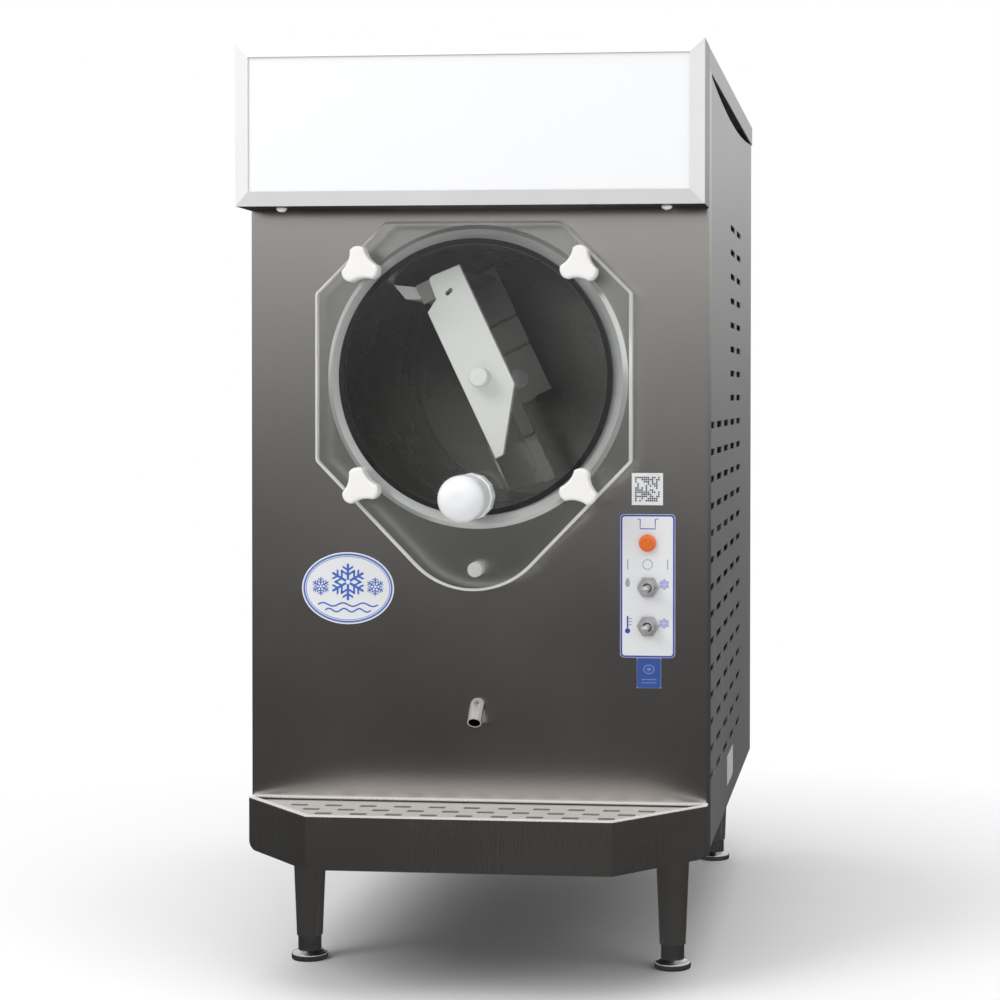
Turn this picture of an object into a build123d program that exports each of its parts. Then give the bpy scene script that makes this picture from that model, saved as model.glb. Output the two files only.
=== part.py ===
from build123d import *
from math import asin, atan, cos, degrees, radians, sin
import os

# Countertop single-barrel ice cream and frozen drink maker, in millimetres.
# +Z is up, the front looks along -Y, and the origin is on the worktop, in the
# middle of the machine's footprint.

# ---------------------------------------------------------------- driving sizes
width = 406.4
body_depth = 610.0
tray_reach = 94.0
base_z = 113.4
top_z = 817.0
sheet = 1.2

front_y = -(body_depth - tray_reach) / 2
rear_y = front_y + body_depth
half_width = width / 2
panel_inner_x = half_width - 2 * sheet
panel_outer_x = half_width - sheet
inside_front_y = front_y + sheet

# Top cover, light box
cover_height = 20.0
cover_z = top_z - cover_height
lightbox_z = 677.0
lightbox_depth = 54.0
lightbox_height = top_z - lightbox_z
lightbox_mid_z = (top_z + lightbox_z) / 2
bezel_width = 12.5
bezel_rim = 1.0
bezel_slope = 5.0
bezel_back_y = front_y - lightbox_depth + bezel_rim + bezel_slope
diffuser_flange = 3.0
diffuser_proud = 4.5
lamp_radius = 12.7
lamp_length = 350.0
lamp_y = front_y - lightbox_depth / 2
holder_size = 22.0

# Freezing barrel, on an axis parallel to Y
barrel_z = 530.4
barrel_bore_r = 115.6
barrel_wall = 1.6
barrel_outer_r = barrel_bore_r + barrel_wall
barrel_mouth_y = front_y - 11.5
barrel_rear_y = front_y + 313.0
barrel_lip_r = 121.0
ring_outer_r = 133.0
ring_depth = 7.0
insulation_inner_r = 128.0
insulation_outer_r = 150.0
insulation_front_y = front_y + 32.0
insulation_rear_y = barrel_rear_y + 30.0
coil_tube_r = 4.75
coil_turns = 12
coil_pitch = 16.0
coil_first_y = front_y + 48.0
running_gap = 0.06

# Clear front plate with its knobs
door_thick = 12.7
door_back_y = front_y - 15.0
door_front_y = door_back_y - door_thick
knob_x = 95.25
knob_z_low = 435.15
knob_z_high = 625.65
stud_r = 4.0
knob_depth = 20.0
bumper_z = 362.4

# Push valve
valve_z = 427.0
valve_collar_r = 20.5
valve_neck_r = 18.5
valve_cap_r = 20.0
valve_tip_y = -351.5
valve_bore_r = 9.0

# Beater, which leans over to the left at rest
beater_tilt = 25.3
bar_front_y = front_y + 15.0
bar_thick = 8.0
arm_front_y = front_y + 220.0
plate = 3.0
shaft_r = 9.5
blade_pivot_x = -50.0
blade_pivot_z = 74.2
blade_pin_r = 2.5

# Controls on the front panel
plate_x = 150.0
plate_width = 48.0
plate_height = 125.0
plate_z = 348.5
lamp_z = 386.0
switch_zs = (347.5, 313.5)
switch_x = 150.5
bushing_r = 5.9

# Drip tray
tray_front_half = 130.5
tray_side = 9.0
tray_rim_z = 159.5
tray_rim_width = 4.5
grid_z = 155.4
grid_gap = 1.0

# Legs
leg_x = 166.5
leg_inset = 61.0
leg_foot_z = 22.0
foot_stud_r = 6.0

# Drive and cooling set in the cabinet
shelf_thick = 2.0
shelf_top_z = barrel_z - insulation_outer_r
gearbox_y = 95.0
gearbox_depth = 70.0
motor_r = 62.0
motor_length = 140.0
fill_y = front_y + 262.0
chute_r = 24.0
chute_bore_r = 22.0
lid_r = 46.0
fan_centre_z = 227.0
condenser_half = 150.0
condenser_low_z = 120.0
condenser_high_z = 350.0
shroud_y = 236.0
compressor_x = -85.0
compressor_y = 10.0
compressor_r = 70.0
compressor_top_z = 315.0
core_high_z = condenser_high_z - 20.0
line_r = 4.75
liquid_r = 3.2
line_bend_r = 9.0
suction_x = -168.0
liquid_x = 168.0
barrel_side_x = 158.0
drier_x = 115.0
drier_y = 100.0
drier_r = 11.0
drier_tail = 20.0

# Labels, each as its centre and its size
badge_centre = (-116.1, 344.0)
badge_radii = (41.4, 31.8)
code_centre = (149.6, 433.0)
code_size = (27.3, 28.0)
tag_centre = (151.2, 272.4)
tag_size = (21.1, 25.9)
side_label_centre = (front_y + 286.0, 147.0)
side_label_size = (75.0, 28.0)

# Cord gland
gland_x = -160.0
gland_z = 170.0
gland_r = 11.0
gland_bore_r = 5.5
gland_reach = 7.0
gland_nut_r = 15.0


# ---------------------------------------------------------------------- helpers
def facing(y):
    """Upright plane at depth y that looks out of the front: x is +X and y is +Z."""
    return Plane(origin=(0, y, 0), x_dir=(1, 0, 0), z_dir=(0, -1, 0))


def across(x):
    """Upright plane at x that looks to the right: x is +Y and y is +Z."""
    return Plane(origin=(x, 0, 0), x_dir=(0, 1, 0), z_dir=(1, 0, 0))


def leaning(y):
    """Upright plane at depth y on the barrel's axis, turned with the beater's bar."""
    tilt = radians(beater_tilt)
    return Plane(origin=(0, y, barrel_z), x_dir=(cos(tilt), 0, sin(tilt)), z_dir=(0, -1, 0))


def depth_axis(x, z):
    """Axis that runs from front to back through x and z."""
    return Axis((x, 0, z), (0, 1, 0))


# --------------------------------------------------------------- frame and base
with BuildPart() as base_pan:
    pan_sheet = 1.5
    pan_flange = 8.0
    pan_depth = rear_y - 13.2 - inside_front_y
    pan_mid_y = inside_front_y + pan_depth / 2
    with BuildSketch(Plane.XY.offset(base_z)):
        with Locations((0, pan_mid_y)):
            Rectangle(2 * panel_inner_x, pan_depth)
    extrude(amount=pan_flange)
    with BuildSketch(Plane.XY.offset(base_z + pan_sheet)):
        with Locations((0, pan_mid_y)):
            Rectangle(2 * (panel_inner_x - pan_sheet), pan_depth - 2 * pan_sheet)
    extrude(amount=pan_flange, mode=Mode.SUBTRACT)
    leg_ys = (front_y + leg_inset, rear_y - leg_inset)
    leg_spots = [(x, y) for x in (-leg_x, leg_x) for y in leg_ys]
    with BuildSketch(Plane.XY.offset(base_z)):
        with Locations(*leg_spots):
            Circle(5.2)
    extrude(amount=pan_sheet, mode=Mode.SUBTRACT)

pan_rear_y = inside_front_y + pan_depth
post_x = panel_inner_x - pan_sheet
post_front_y = inside_front_y + pan_sheet
post_rear_y = pan_rear_y - pan_sheet
post_leg = 22.0
post_sheet = 2.0
rear_screw_spots = [(x, z) for x in (-188.0, 188.0) for z in (150.0, 455.0, 770.0)]

with BuildPart() as frame:
    post_low_z = base_z + pan_sheet
    with BuildSketch(Plane.XY.offset(post_low_z)):
        for side in (-1, 1):
            for y, inward in ((post_front_y, 1), (post_rear_y, -1)):
                with Locations((side * (post_x - post_leg / 2), y + inward * post_sheet / 2)):
                    Rectangle(post_leg, post_sheet)
                with Locations((side * (post_x - post_sheet / 2), y + inward * post_leg / 2)):
                    Rectangle(post_sheet, post_leg)
    extrude(amount=cover_z - post_low_z)
    shelf_front_y = -140.0
    with BuildSketch(Plane.XY.offset(shelf_top_z - shelf_thick)):
        with Locations((0, (shelf_front_y + post_rear_y) / 2)):
            Rectangle(2 * post_x, post_rear_y - shelf_front_y)
        for side in (-1, 1):
            with Locations((side * (post_x - 8), (post_front_y + post_rear_y) / 2)):
                Rectangle(16, post_rear_y - post_front_y)
        with Locations((-168, -66), (168, -34)):
            Circle(9, mode=Mode.SUBTRACT)
    extrude(amount=shelf_thick)
    with BuildSketch(facing(post_rear_y)):
        with Locations(*rear_screw_spots):
            Circle(2.2)
    extrude(amount=post_sheet, mode=Mode.SUBTRACT)

# ------------------------------------------------------------------ front panel
stud_spots = [(x, z) for x in (-knob_x, knob_x) for z in (knob_z_low, knob_z_high)]
return_flange = 26.0
hook_x = 90.0
hook_width = 26.0
hook_low_z = 130.0
hook_high_z = 141.0
hook_lift = 12.0
lip_low_z = 123.0
hook_back_y = inside_front_y + sheet + 0.1
drain_z = 242.5

with BuildPart() as front_panel:
    with BuildSketch(Plane.XY.offset(base_z)) as pan_section:
        with Locations((0, front_y + return_flange / 2)):
            Rectangle(width, return_flange)
        fillet(pan_section.vertices().group_by(Axis.Y)[0], 2.0)
        with Locations((0, front_y + sheet + return_flange / 2)):
            Rectangle(2 * panel_outer_x, return_flange, mode=Mode.SUBTRACT)
    extrude(amount=cover_z - base_z)
    with BuildSketch(facing(inside_front_y)):
        with Locations((0, barrel_z)):
            Circle(barrel_outer_r + 0.6)
        with Locations(*stud_spots):
            Circle(stud_r + 0.2)
        with Locations((plate_x, lamp_z)):
            Circle(6.3)
        with Locations(*[(switch_x, z) for z in switch_zs]):
            Circle(bushing_r + 0.1)
        with Locations((0, drain_z)):
            Circle(6.6)
        hook_slot_height = hook_high_z - hook_low_z + hook_lift + 2
        with Locations(*[(x, hook_low_z + hook_slot_height / 2 - 0.2) for x in (-hook_x, hook_x)]):
            Rectangle(hook_width + 2, hook_slot_height)
    extrude(amount=sheet, mode=Mode.SUBTRACT)

# ------------------------------------------------------------------ side panels
vent_length = 59.0
vent_height = 6.0
vent_pitch_y = 87.0
vent_pitch_z = 24.1
vent_first_y = front_y + 52.0
vent_top_z = 488.2
low_vents = [(vent_first_y + column * vent_pitch_y, vent_top_z - row * vent_pitch_z)
             for column in range(5) for row in range(14)]
high_vents = [(vent_first_y + column * vent_pitch_y, vent_top_z + row * vent_pitch_z)
              for column in (3, 4) for row in range(1, 9)]


def make_side_panel(x_low):
    """A flat side sheet with its vents and the long dip under the cover's edge."""
    dip_front_y = front_y + 32.0
    dip_rear_y = front_y + 604.0
    dip_depth = 12.0
    with BuildPart() as side_panel:
        with BuildSketch(across(x_low)):
            with BuildLine():
                Polyline((dip_front_y, cover_z), (inside_front_y, cover_z), (inside_front_y, base_z),
                         (rear_y, base_z), (rear_y, cover_z), (dip_rear_y, cover_z))
                ThreePointArc((dip_rear_y, cover_z), ((dip_front_y + dip_rear_y) / 2, cover_z - dip_depth),
                              (dip_front_y, cover_z))
            make_face()
            with Locations(*low_vents, *high_vents):
                SlotOverall(vent_length, vent_height, mode=Mode.SUBTRACT)
        extrude(amount=sheet)
    return side_panel


left_side_panel = make_side_panel(-panel_outer_x)
right_side_panel = make_side_panel(panel_inner_x)

# ----------------------------------------------------------- rear panel and top
rear_panel_y = pan_rear_y + sheet

with BuildPart() as rear_panel:
    with BuildSketch(facing(rear_panel_y)):
        with Locations((0, (base_z + cover_z) / 2)):
            Rectangle(2 * panel_inner_x, cover_z - base_z)
        with Locations((0, fan_centre_z)):
            with GridLocations(100, 15, 3, 13):
                SlotOverall(86, 6.5, mode=Mode.SUBTRACT)
        with Locations((0, 600)):
            with GridLocations(100, 15, 3, 8):
                SlotOverall(86, 6.5, mode=Mode.SUBTRACT)
        with Locations((gland_x, gland_z)):
            Circle(gland_r, mode=Mode.SUBTRACT)
        with Locations(*rear_screw_spots):
            Circle(2.2, mode=Mode.SUBTRACT)
    extrude(amount=sheet)

with BuildPart() as top_cover:
    cover_mid_y = (front_y + rear_y) / 2
    with BuildSketch(Plane.XY.offset(cover_z)):
        with Locations((0, cover_mid_y)):
            Rectangle(width, body_depth)
    extrude(amount=cover_height)
    fillet(top_cover.edges().filter_by(Axis.Z), 2.0)
    fillet(top_cover.faces().sort_by(Axis.Z)[-1].edges(), 1.0)
    with BuildSketch(Plane.XY.offset(cover_z)):
        with Locations((0, cover_mid_y)):
            Rectangle(width - 2 * sheet, body_depth - 2 * sheet)
    extrude(amount=cover_height - sheet, mode=Mode.SUBTRACT)
    with BuildSketch(Plane.XY.offset(top_z - sheet)):
        with Locations((0, fill_y)):
            Circle(lid_r + 0.4)
    extrude(amount=sheet, mode=Mode.SUBTRACT)

# -------------------------------------------------------------------- light box
box_screw_x = 168.7
box_screw_y = front_y - 25.0

with BuildPart() as lightbox_housing:
    with BuildSketch(facing(front_y)):
        with Locations((0, lightbox_mid_z)):
            Rectangle(width, lightbox_height)
    extrude(amount=front_y - bezel_back_y)
    with BuildSketch(facing(front_y - sheet)):
        with Locations((0, lightbox_mid_z)):
            Rectangle(width - 2 * sheet, lightbox_height - 2 * sheet)
    extrude(amount=lightbox_depth, mode=Mode.SUBTRACT)
    with BuildSketch(Plane.XY.offset(lightbox_z)):
        with Locations((-box_screw_x, box_screw_y), (box_screw_x, box_screw_y)):
            Circle(2.6)
    extrude(amount=sheet, mode=Mode.SUBTRACT)

with BuildPart() as lightbox_bezel:
    with BuildSketch(facing(bezel_back_y)):
        with Locations((0, lightbox_mid_z)):
            Rectangle(width, lightbox_height)
    extrude(amount=bezel_rim)
    slope_angle = degrees(atan((bezel_width - 0.5) / bezel_slope))
    with BuildSketch(facing(bezel_back_y - bezel_rim)):
        with Locations((0, lightbox_mid_z)):
            Rectangle(width, lightbox_height)
    extrude(amount=bezel_slope, taper=slope_angle)
    with BuildSketch(facing(bezel_back_y)):
        with Locations((0, lightbox_mid_z)):
            Rectangle(width - 2 * bezel_width, lightbox_height - 2 * bezel_width)
    extrude(amount=bezel_rim + bezel_slope, mode=Mode.SUBTRACT)

with BuildPart() as lightbox_diffuser:
    with BuildSketch(facing(bezel_back_y + diffuser_flange)):
        with Locations((0, lightbox_mid_z)):
            Rectangle(width - 2 * sheet - 1, lightbox_height - 2 * sheet - 1)
    extrude(amount=diffuser_flange)
    with BuildSketch(facing(bezel_back_y)):
        with Locations((0, lightbox_mid_z)):
            Rectangle(width - 2 * bezel_width - 0.4, lightbox_height - 2 * bezel_width - 0.4)
    extrude(amount=diffuser_proud)

with BuildPart() as lightbox_lamp:
    with BuildSketch(across(-lamp_length / 2)):
        with Locations((lamp_y, lightbox_mid_z)):
            Circle(lamp_radius)
    extrude(amount=lamp_length)
    fillet(lightbox_lamp.edges().filter_by(GeomType.CIRCLE), 2.0)
    for side in (-1, 1):
        with BuildSketch(across(side * (lamp_length / 2 + 0.05))):
            with Locations((lamp_y + 2, lightbox_mid_z)):
                Rectangle(holder_size + 5, holder_size + 12)
        extrude(amount=side * 9)
        with BuildSketch(across(side * (lamp_length / 2 + 3))):
            with Locations((front_y - sheet - 8, lightbox_mid_z)):
                Rectangle(16, holder_size)
        extrude(amount=side * 6)

# --------------------------------------------------------------- freezing barrel
barrel_axis = depth_axis(0, barrel_z)

with BuildPart() as freezing_barrel:
    with BuildSketch(Plane.YZ):
        with BuildLine():
            Polyline((barrel_mouth_y, barrel_z + barrel_bore_r), (barrel_mouth_y, barrel_z + barrel_lip_r),
                     (barrel_mouth_y + barrel_wall, barrel_z + barrel_lip_r),
                     (barrel_mouth_y + barrel_wall, barrel_z + barrel_outer_r),
                     (barrel_rear_y + 2, barrel_z + barrel_outer_r),
                     (barrel_rear_y + 2, barrel_z + shaft_r + running_gap),
                     (barrel_rear_y, barrel_z + shaft_r + running_gap),
                     (barrel_rear_y, barrel_z + barrel_bore_r),
                     (barrel_mouth_y, barrel_z + barrel_bore_r))
        make_face()
    revolve(axis=barrel_axis)
    with BuildSketch(Plane.XY.offset(barrel_z)):
        with Locations((0, fill_y)):
            Circle(chute_bore_r)
    extrude(amount=barrel_outer_r + 5, mode=Mode.SUBTRACT)

with BuildPart() as barrel_ring:
    ring_front_y = front_y - ring_depth
    with BuildSketch(Plane.YZ):
        with BuildLine():
            Polyline((front_y, barrel_z + barrel_outer_r + 0.2), (front_y, barrel_z + ring_outer_r),
                     (front_y - 3, barrel_z + ring_outer_r), (ring_front_y, barrel_z + ring_outer_r - 4),
                     (ring_front_y + 1, barrel_z + barrel_outer_r + 0.2),
                     (front_y, barrel_z + barrel_outer_r + 0.2))
        make_face()
    revolve(axis=barrel_axis)
    with BuildSketch(facing(front_y)):
        with Locations(*stud_spots):
            Circle(stud_r + 0.5)
    extrude(amount=ring_depth, mode=Mode.SUBTRACT)

with BuildPart() as door_gasket:
    with BuildSketch(facing(barrel_mouth_y)):
        with Locations((0, barrel_z)):
            Circle(barrel_lip_r - 0.4)
            Circle(barrel_bore_r + 0.6, mode=Mode.SUBTRACT)
    extrude(amount=barrel_mouth_y - door_back_y)

coil_ring_r = barrel_outer_r + coil_tube_r + 0.3
with BuildPart() as evaporator_coil:
    for turn in range(coil_turns):
        ring_y = coil_first_y + turn * coil_pitch
        with BuildSketch(Plane.YZ):
            with Locations((ring_y, barrel_z + coil_ring_r)):
                Circle(coil_tube_r)
        revolve(axis=barrel_axis)
    for side, turn in ((-1, 9), (1, 11)):
        tail_y = coil_first_y + turn * coil_pitch
        with BuildSketch(across(side * coil_ring_r)):
            with Locations((tail_y, barrel_z)):
                Circle(coil_tube_r - 0.4)
        extrude(amount=side * (158 - coil_ring_r))

with BuildPart() as barrel_insulation:
    with BuildSketch(Plane.YZ):
        with BuildLine():
            Polyline((insulation_front_y, barrel_z + insulation_inner_r),
                     (insulation_front_y, barrel_z + insulation_outer_r),
                     (insulation_rear_y, barrel_z + insulation_outer_r),
                     (insulation_rear_y, barrel_z + 15), (barrel_rear_y + 3, barrel_z + 15),
                     (barrel_rear_y + 3, barrel_z + insulation_inner_r),
                     (insulation_front_y, barrel_z + insulation_inner_r))
        make_face()
    revolve(axis=barrel_axis)
    with BuildSketch(Plane.XY.offset(barrel_z)):
        with Locations((0, fill_y)):
            Circle(chute_r + 0.5)
    extrude(amount=insulation_outer_r + 5, mode=Mode.SUBTRACT)
    for side, turn in ((-1, 9), (1, 11)):
        with BuildSketch(across(side * 100)):
            with Locations((coil_first_y + turn * coil_pitch, barrel_z)):
                Circle(coil_tube_r + 0.5)
        extrude(amount=side * 60, mode=Mode.SUBTRACT)

with BuildPart() as door_studs:
    for x, z in stud_spots:
        with BuildSketch(facing(inside_front_y + 20)):
            with Locations((x, z)):
                Circle(stud_r)
        extrude(amount=20 + sheet + (front_y - door_front_y) + 14)
        with BuildSketch(facing(inside_front_y + 5)):
            with Locations((x, z)):
                RegularPolygon(7.5, 6)
        extrude(amount=5)

# ------------------------------------------------------------------ fill opening
with BuildPart() as fill_chute:
    funnel_z = top_z - sheet
    with BuildSketch(Plane(origin=(0, fill_y, 0), x_dir=(1, 0, 0), z_dir=(0, -1, 0))):
        with BuildLine():
            Polyline((40, funnel_z), (54, funnel_z), (54, funnel_z - 2), (42, funnel_z - 2),
                     (chute_r, funnel_z - 60), (chute_r, barrel_z + 100), (chute_bore_r, barrel_z + 100),
                     (chute_bore_r, funnel_z - 60), (40, funnel_z - 2), (40, funnel_z))
        make_face()
    revolve(axis=Axis((0, fill_y, 0), (0, 0, 1)))
    with BuildSketch(facing(fill_y + 60)):
        with Locations((0, barrel_z)):
            Circle(barrel_outer_r + 0.1)
    extrude(amount=120, mode=Mode.SUBTRACT)

with BuildPart() as fill_lid:
    lid_plug_r = 39.0
    with BuildSketch(Plane.XY.offset(top_z - sheet)):
        with Locations((0, fill_y)):
            Circle(lid_r)
    extrude(amount=sheet)
    with BuildSketch(Plane.XY.offset(top_z - sheet)):
        with Locations((0, fill_y)):
            Circle(lid_plug_r)
    extrude(amount=-14, taper=24)
    with BuildSketch(Plane.XY.offset(top_z)):
        with Locations((0, fill_y - 13), (0, fill_y + 13)):
            SlotOverall(40, 16)
    extrude(amount=-10, mode=Mode.SUBTRACT)

# ---------------------------------------------------------------------- drive
with BuildPart() as gearbox:
    with BuildSketch(facing(gearbox_y + gearbox_depth)) as gearbox_face:
        with Locations((0, (barrel_z + 60 + shelf_top_z) / 2)):
            Rectangle(130, barrel_z + 60 - shelf_top_z)
        fillet(gearbox_face.vertices().group_by(Axis.Y)[-1], 30)
    extrude(amount=gearbox_depth)
    with BuildSketch(facing(gearbox_y)):
        with Locations((0, barrel_z)):
            Circle(20)
    extrude(amount=6)
    with BuildSketch(facing(gearbox_y + 52)):
        with Locations((0, barrel_z)):
            Circle(shaft_r + running_gap)
    extrude(amount=60, mode=Mode.SUBTRACT)
    with BuildSketch(facing(gearbox_y + gearbox_depth)):
        with Locations((0, shelf_top_z + 52)):
            Rectangle(90, 70)
    extrude(amount=gearbox_depth, mode=Mode.SUBTRACT)

with BuildPart() as drive_motor:
    motor_front_y = gearbox_y + gearbox_depth
    with BuildSketch(facing(motor_front_y + motor_length)):
        with Locations((0, barrel_z)):
            Circle(motor_r)
    extrude(amount=motor_length)
    fillet(drive_motor.edges().group_by(Axis.Y)[-1], 10)
    with BuildSketch(across(motor_r - 8)):
        with Locations((motor_front_y + 70, barrel_z)):
            Rectangle(60, 44)
    extrude(amount=26)

# ---------------------------------------------------------------- cooling set
with BuildPart() as compressor:
    mount_top_z = base_z + pan_sheet + 8
    foot_plate = 3.0
    shell_low_z = mount_top_z + foot_plate
    with BuildSketch(Plane.XY.offset(mount_top_z)) as foot_sketch:
        with Locations((compressor_x, compressor_y)):
            Rectangle(190, 150)
        fillet(foot_sketch.vertices(), 14)
        with Locations((compressor_x, compressor_y)):
            with GridLocations(160, 120, 2, 2):
                Circle(5.5, mode=Mode.SUBTRACT)
    extrude(amount=foot_plate)
    with BuildSketch(Plane.XY.offset(shell_low_z)):
        with Locations((compressor_x, compressor_y)):
            Circle(compressor_r - 6)
    extrude(amount=174)
    with BuildSketch(Plane.XY.offset(shell_low_z + 12)):
        with Locations((compressor_x, compressor_y)):
            Circle(compressor_r)
    extrude(amount=90)
    fillet(compressor.faces().sort_by(Axis.Z)[-1].edges(), 40)
    with BuildSketch(Plane.XY.offset(shell_low_z + 150)):
        with Locations((compressor_x - 30, compressor_y), (compressor_x + 30, compressor_y)):
            Circle(line_r)
    extrude(amount=compressor_top_z - shell_low_z - 150)

with BuildPart() as compressor_mounts:
    mount_low_z = base_z + pan_sheet
    for x in (compressor_x - 80, compressor_x + 80):
        for y in (compressor_y - 60, compressor_y + 60):
            with BuildSketch(Plane.XY.offset(mount_low_z)):
                with Locations((x, y)):
                    Circle(11)
            extrude(amount=mount_top_z - mount_low_z)
            with BuildSketch(Plane.XY.offset(mount_top_z)):
                with Locations((x, y)):
                    Circle(5.4)
            extrude(amount=foot_plate + 3)

with BuildPart() as condenser_coil:
    condenser_rear_y = shroud_y + 48
    with BuildSketch(facing(condenser_rear_y)):
        with Locations((0, (condenser_low_z + core_high_z) / 2)):
            Rectangle(2 * condenser_half - 20, core_high_z - condenser_low_z)
    extrude(amount=44)
    for row in range(5):
        bend_z = condenser_low_z + 25 + row * 40
        with BuildSketch(across(-condenser_half)):
            with Locations((condenser_rear_y - 14, bend_z), (condenser_rear_y - 30, bend_z)):
                Circle(line_r)
        extrude(amount=2 * condenser_half)

with BuildPart() as fan_shroud:
    shroud_mid_z = (condenser_low_z + core_high_z) / 2
    with BuildSketch(facing(shroud_y + 4)):
        with Locations((0, shroud_mid_z)):
            Rectangle(2 * condenser_half - 20, core_high_z - condenser_low_z)
        with Locations((0, fan_centre_z)):
            Circle(100, mode=Mode.SUBTRACT)
    extrude(amount=2)
    with BuildSketch(facing(shroud_y + 2)):
        with Locations((0, fan_centre_z)):
            Circle(102)
            Circle(100, mode=Mode.SUBTRACT)
    extrude(amount=26)

fan_blade_r = 96.0
fan_back_y = 228.0

with BuildPart() as fan_motor:
    motor_back_y = 182.0
    with BuildSketch(facing(motor_back_y)):
        with Locations((0, fan_centre_z)):
            Circle(36)
    extrude(amount=54)
    fillet(fan_motor.edges().filter_by(GeomType.CIRCLE), 4)
    with BuildSketch(facing(motor_back_y - 4)):
        with Locations((0, fan_centre_z)):
            with PolarLocations(73, 4, start_angle=45):
                Rectangle(82, 8)
    extrude(amount=4)
    with BuildSketch(facing(shroud_y + 2)):
        with Locations((0, fan_centre_z)):
            with PolarLocations(110, 4, start_angle=45):
                Rectangle(6, 8)
    extrude(amount=shroud_y + 2 - (motor_back_y - 8))
    with BuildSketch(facing(motor_back_y)):
        with Locations((0, fan_centre_z)):
            Circle(3 + running_gap)
    extrude(amount=20, mode=Mode.SUBTRACT)

with BuildPart() as fan_blade:
    blade_count = 5
    with BuildSketch(facing(fan_back_y)):
        with Locations((0, fan_centre_z)):
            Circle(20)
    extrude(amount=26)
    with BuildSketch(facing(fan_back_y - 26)):
        with Locations((0, fan_centre_z)):
            Circle(3)
    extrude(amount=fan_back_y - 26 - (motor_back_y - 18))
    for blade in range(blade_count):
        turn_angle = radians(360 * blade / blade_count)
        outward = (cos(turn_angle), 0, sin(turn_angle))
        around = (-sin(turn_angle), 0, cos(turn_angle))
        pitch_dir = (around[0] * cos(radians(35)), sin(radians(35)), around[2] * cos(radians(35)))
        blade_root = Plane(origin=(17 * outward[0], fan_back_y - 13, fan_centre_z + 17 * outward[2]),
                           x_dir=pitch_dir, z_dir=outward)
        with BuildSketch(blade_root):
            SlotOverall(24, 2.4)
        with BuildSketch(blade_root.offset(fan_blade_r - 20)):
            SlotOverall(34, 1.8)
        loft()

with BuildPart() as refrigerant_lines:
    drier_low_z = 225.0
    drier_high_z = 335.0
    suction_y = coil_first_y + 9 * coil_pitch
    liquid_y = coil_first_y + 11 * coil_pitch
    low_x = compressor_x - 30
    high_x = compressor_x + 30
    line_top_z = condenser_high_z + 6
    suction_z = compressor_top_z + 25
    liquid_z = drier_low_z - drier_tail
    core_y = condenser_rear_y - 22
    routes = (
        (line_r, ((low_x, compressor_y, compressor_top_z), (low_x, compressor_y, line_top_z + 2),
                  (low_x, core_y, line_top_z + 2), (low_x, core_y, core_high_z))),
        (line_r, ((high_x, compressor_y, compressor_top_z), (high_x, compressor_y, suction_z),
                  (high_x, suction_y, suction_z), (suction_x, suction_y, suction_z),
                  (suction_x, suction_y, barrel_z), (-barrel_side_x, suction_y, barrel_z))),
        (liquid_r, ((drier_x, core_y, core_high_z), (drier_x, core_y, line_top_z),
                    (drier_x, drier_y, line_top_z), (drier_x, drier_y, drier_high_z))),
        (liquid_r, ((drier_x, drier_y, drier_low_z), (drier_x, drier_y, liquid_z),
                    (liquid_x, drier_y, liquid_z), (liquid_x, liquid_y, liquid_z),
                    (liquid_x, liquid_y, barrel_z), (barrel_side_x, liquid_y, barrel_z))),
    )
    for radius, points in routes:
        with BuildLine() as route:
            FilletPolyline(*points, radius=line_bend_r)
        start = Vector(*points[0])
        with BuildSketch(Plane(origin=start, z_dir=Vector(*points[1]) - start)):
            Circle(radius)
        sweep(path=route.line)
    with BuildSketch(Plane.XY.offset(drier_low_z + 0.05)):
        with Locations((drier_x, drier_y)):
            Circle(drier_r)
    extrude(amount=drier_high_z - drier_low_z - 0.1)

# ------------------------------------------------------------------- controls
with BuildPart() as control_box:
    box_left_x = 112.0
    box_right_x = 176.0
    box_low_z = 288.0
    box_high_z = 402.0
    box_depth = 90.0
    box_mid = ((box_left_x + box_right_x) / 2, (box_low_z + box_high_z) / 2)
    with BuildSketch(facing(inside_front_y + box_depth)):
        with Locations(box_mid):
            Rectangle(box_right_x - box_left_x, box_high_z - box_low_z)
    extrude(amount=box_depth)
    with BuildSketch(facing(inside_front_y + box_depth - sheet)):
        with Locations(box_mid):
            Rectangle(box_right_x - box_left_x - 2 * sheet, box_high_z - box_low_z - 2 * sheet)
    extrude(amount=box_depth, mode=Mode.SUBTRACT)

with BuildPart() as control_plate:
    plate_sheet = 1.0
    with BuildSketch(facing(front_y)) as plate_sketch:
        with Locations((plate_x, plate_z)):
            Rectangle(plate_width, plate_height)
        fillet(plate_sketch.vertices(), 3.5)
        with Locations((plate_x, lamp_z)):
            Circle(6.3, mode=Mode.SUBTRACT)
        with Locations(*[(switch_x, z) for z in switch_zs]):
            Circle(bushing_r + 0.1, mode=Mode.SUBTRACT)
    extrude(amount=plate_sheet)

plate_front_y = front_y - plate_sheet

with BuildPart() as pilot_lamp:
    with BuildSketch(facing(inside_front_y + 28)):
        with Locations((plate_x, lamp_z)):
            Circle(6.2)
    extrude(amount=28 + sheet + plate_sheet)
    with BuildSketch(facing(plate_front_y)):
        with Locations((plate_x, lamp_z)):
            Circle(7.6)
    extrude(amount=5)
    fillet(pilot_lamp.edges().group_by(Axis.Y)[0], 3.0)

switch_front_y = front_y - 10.0
lever_pivot_y = switch_front_y + 4.0

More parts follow.
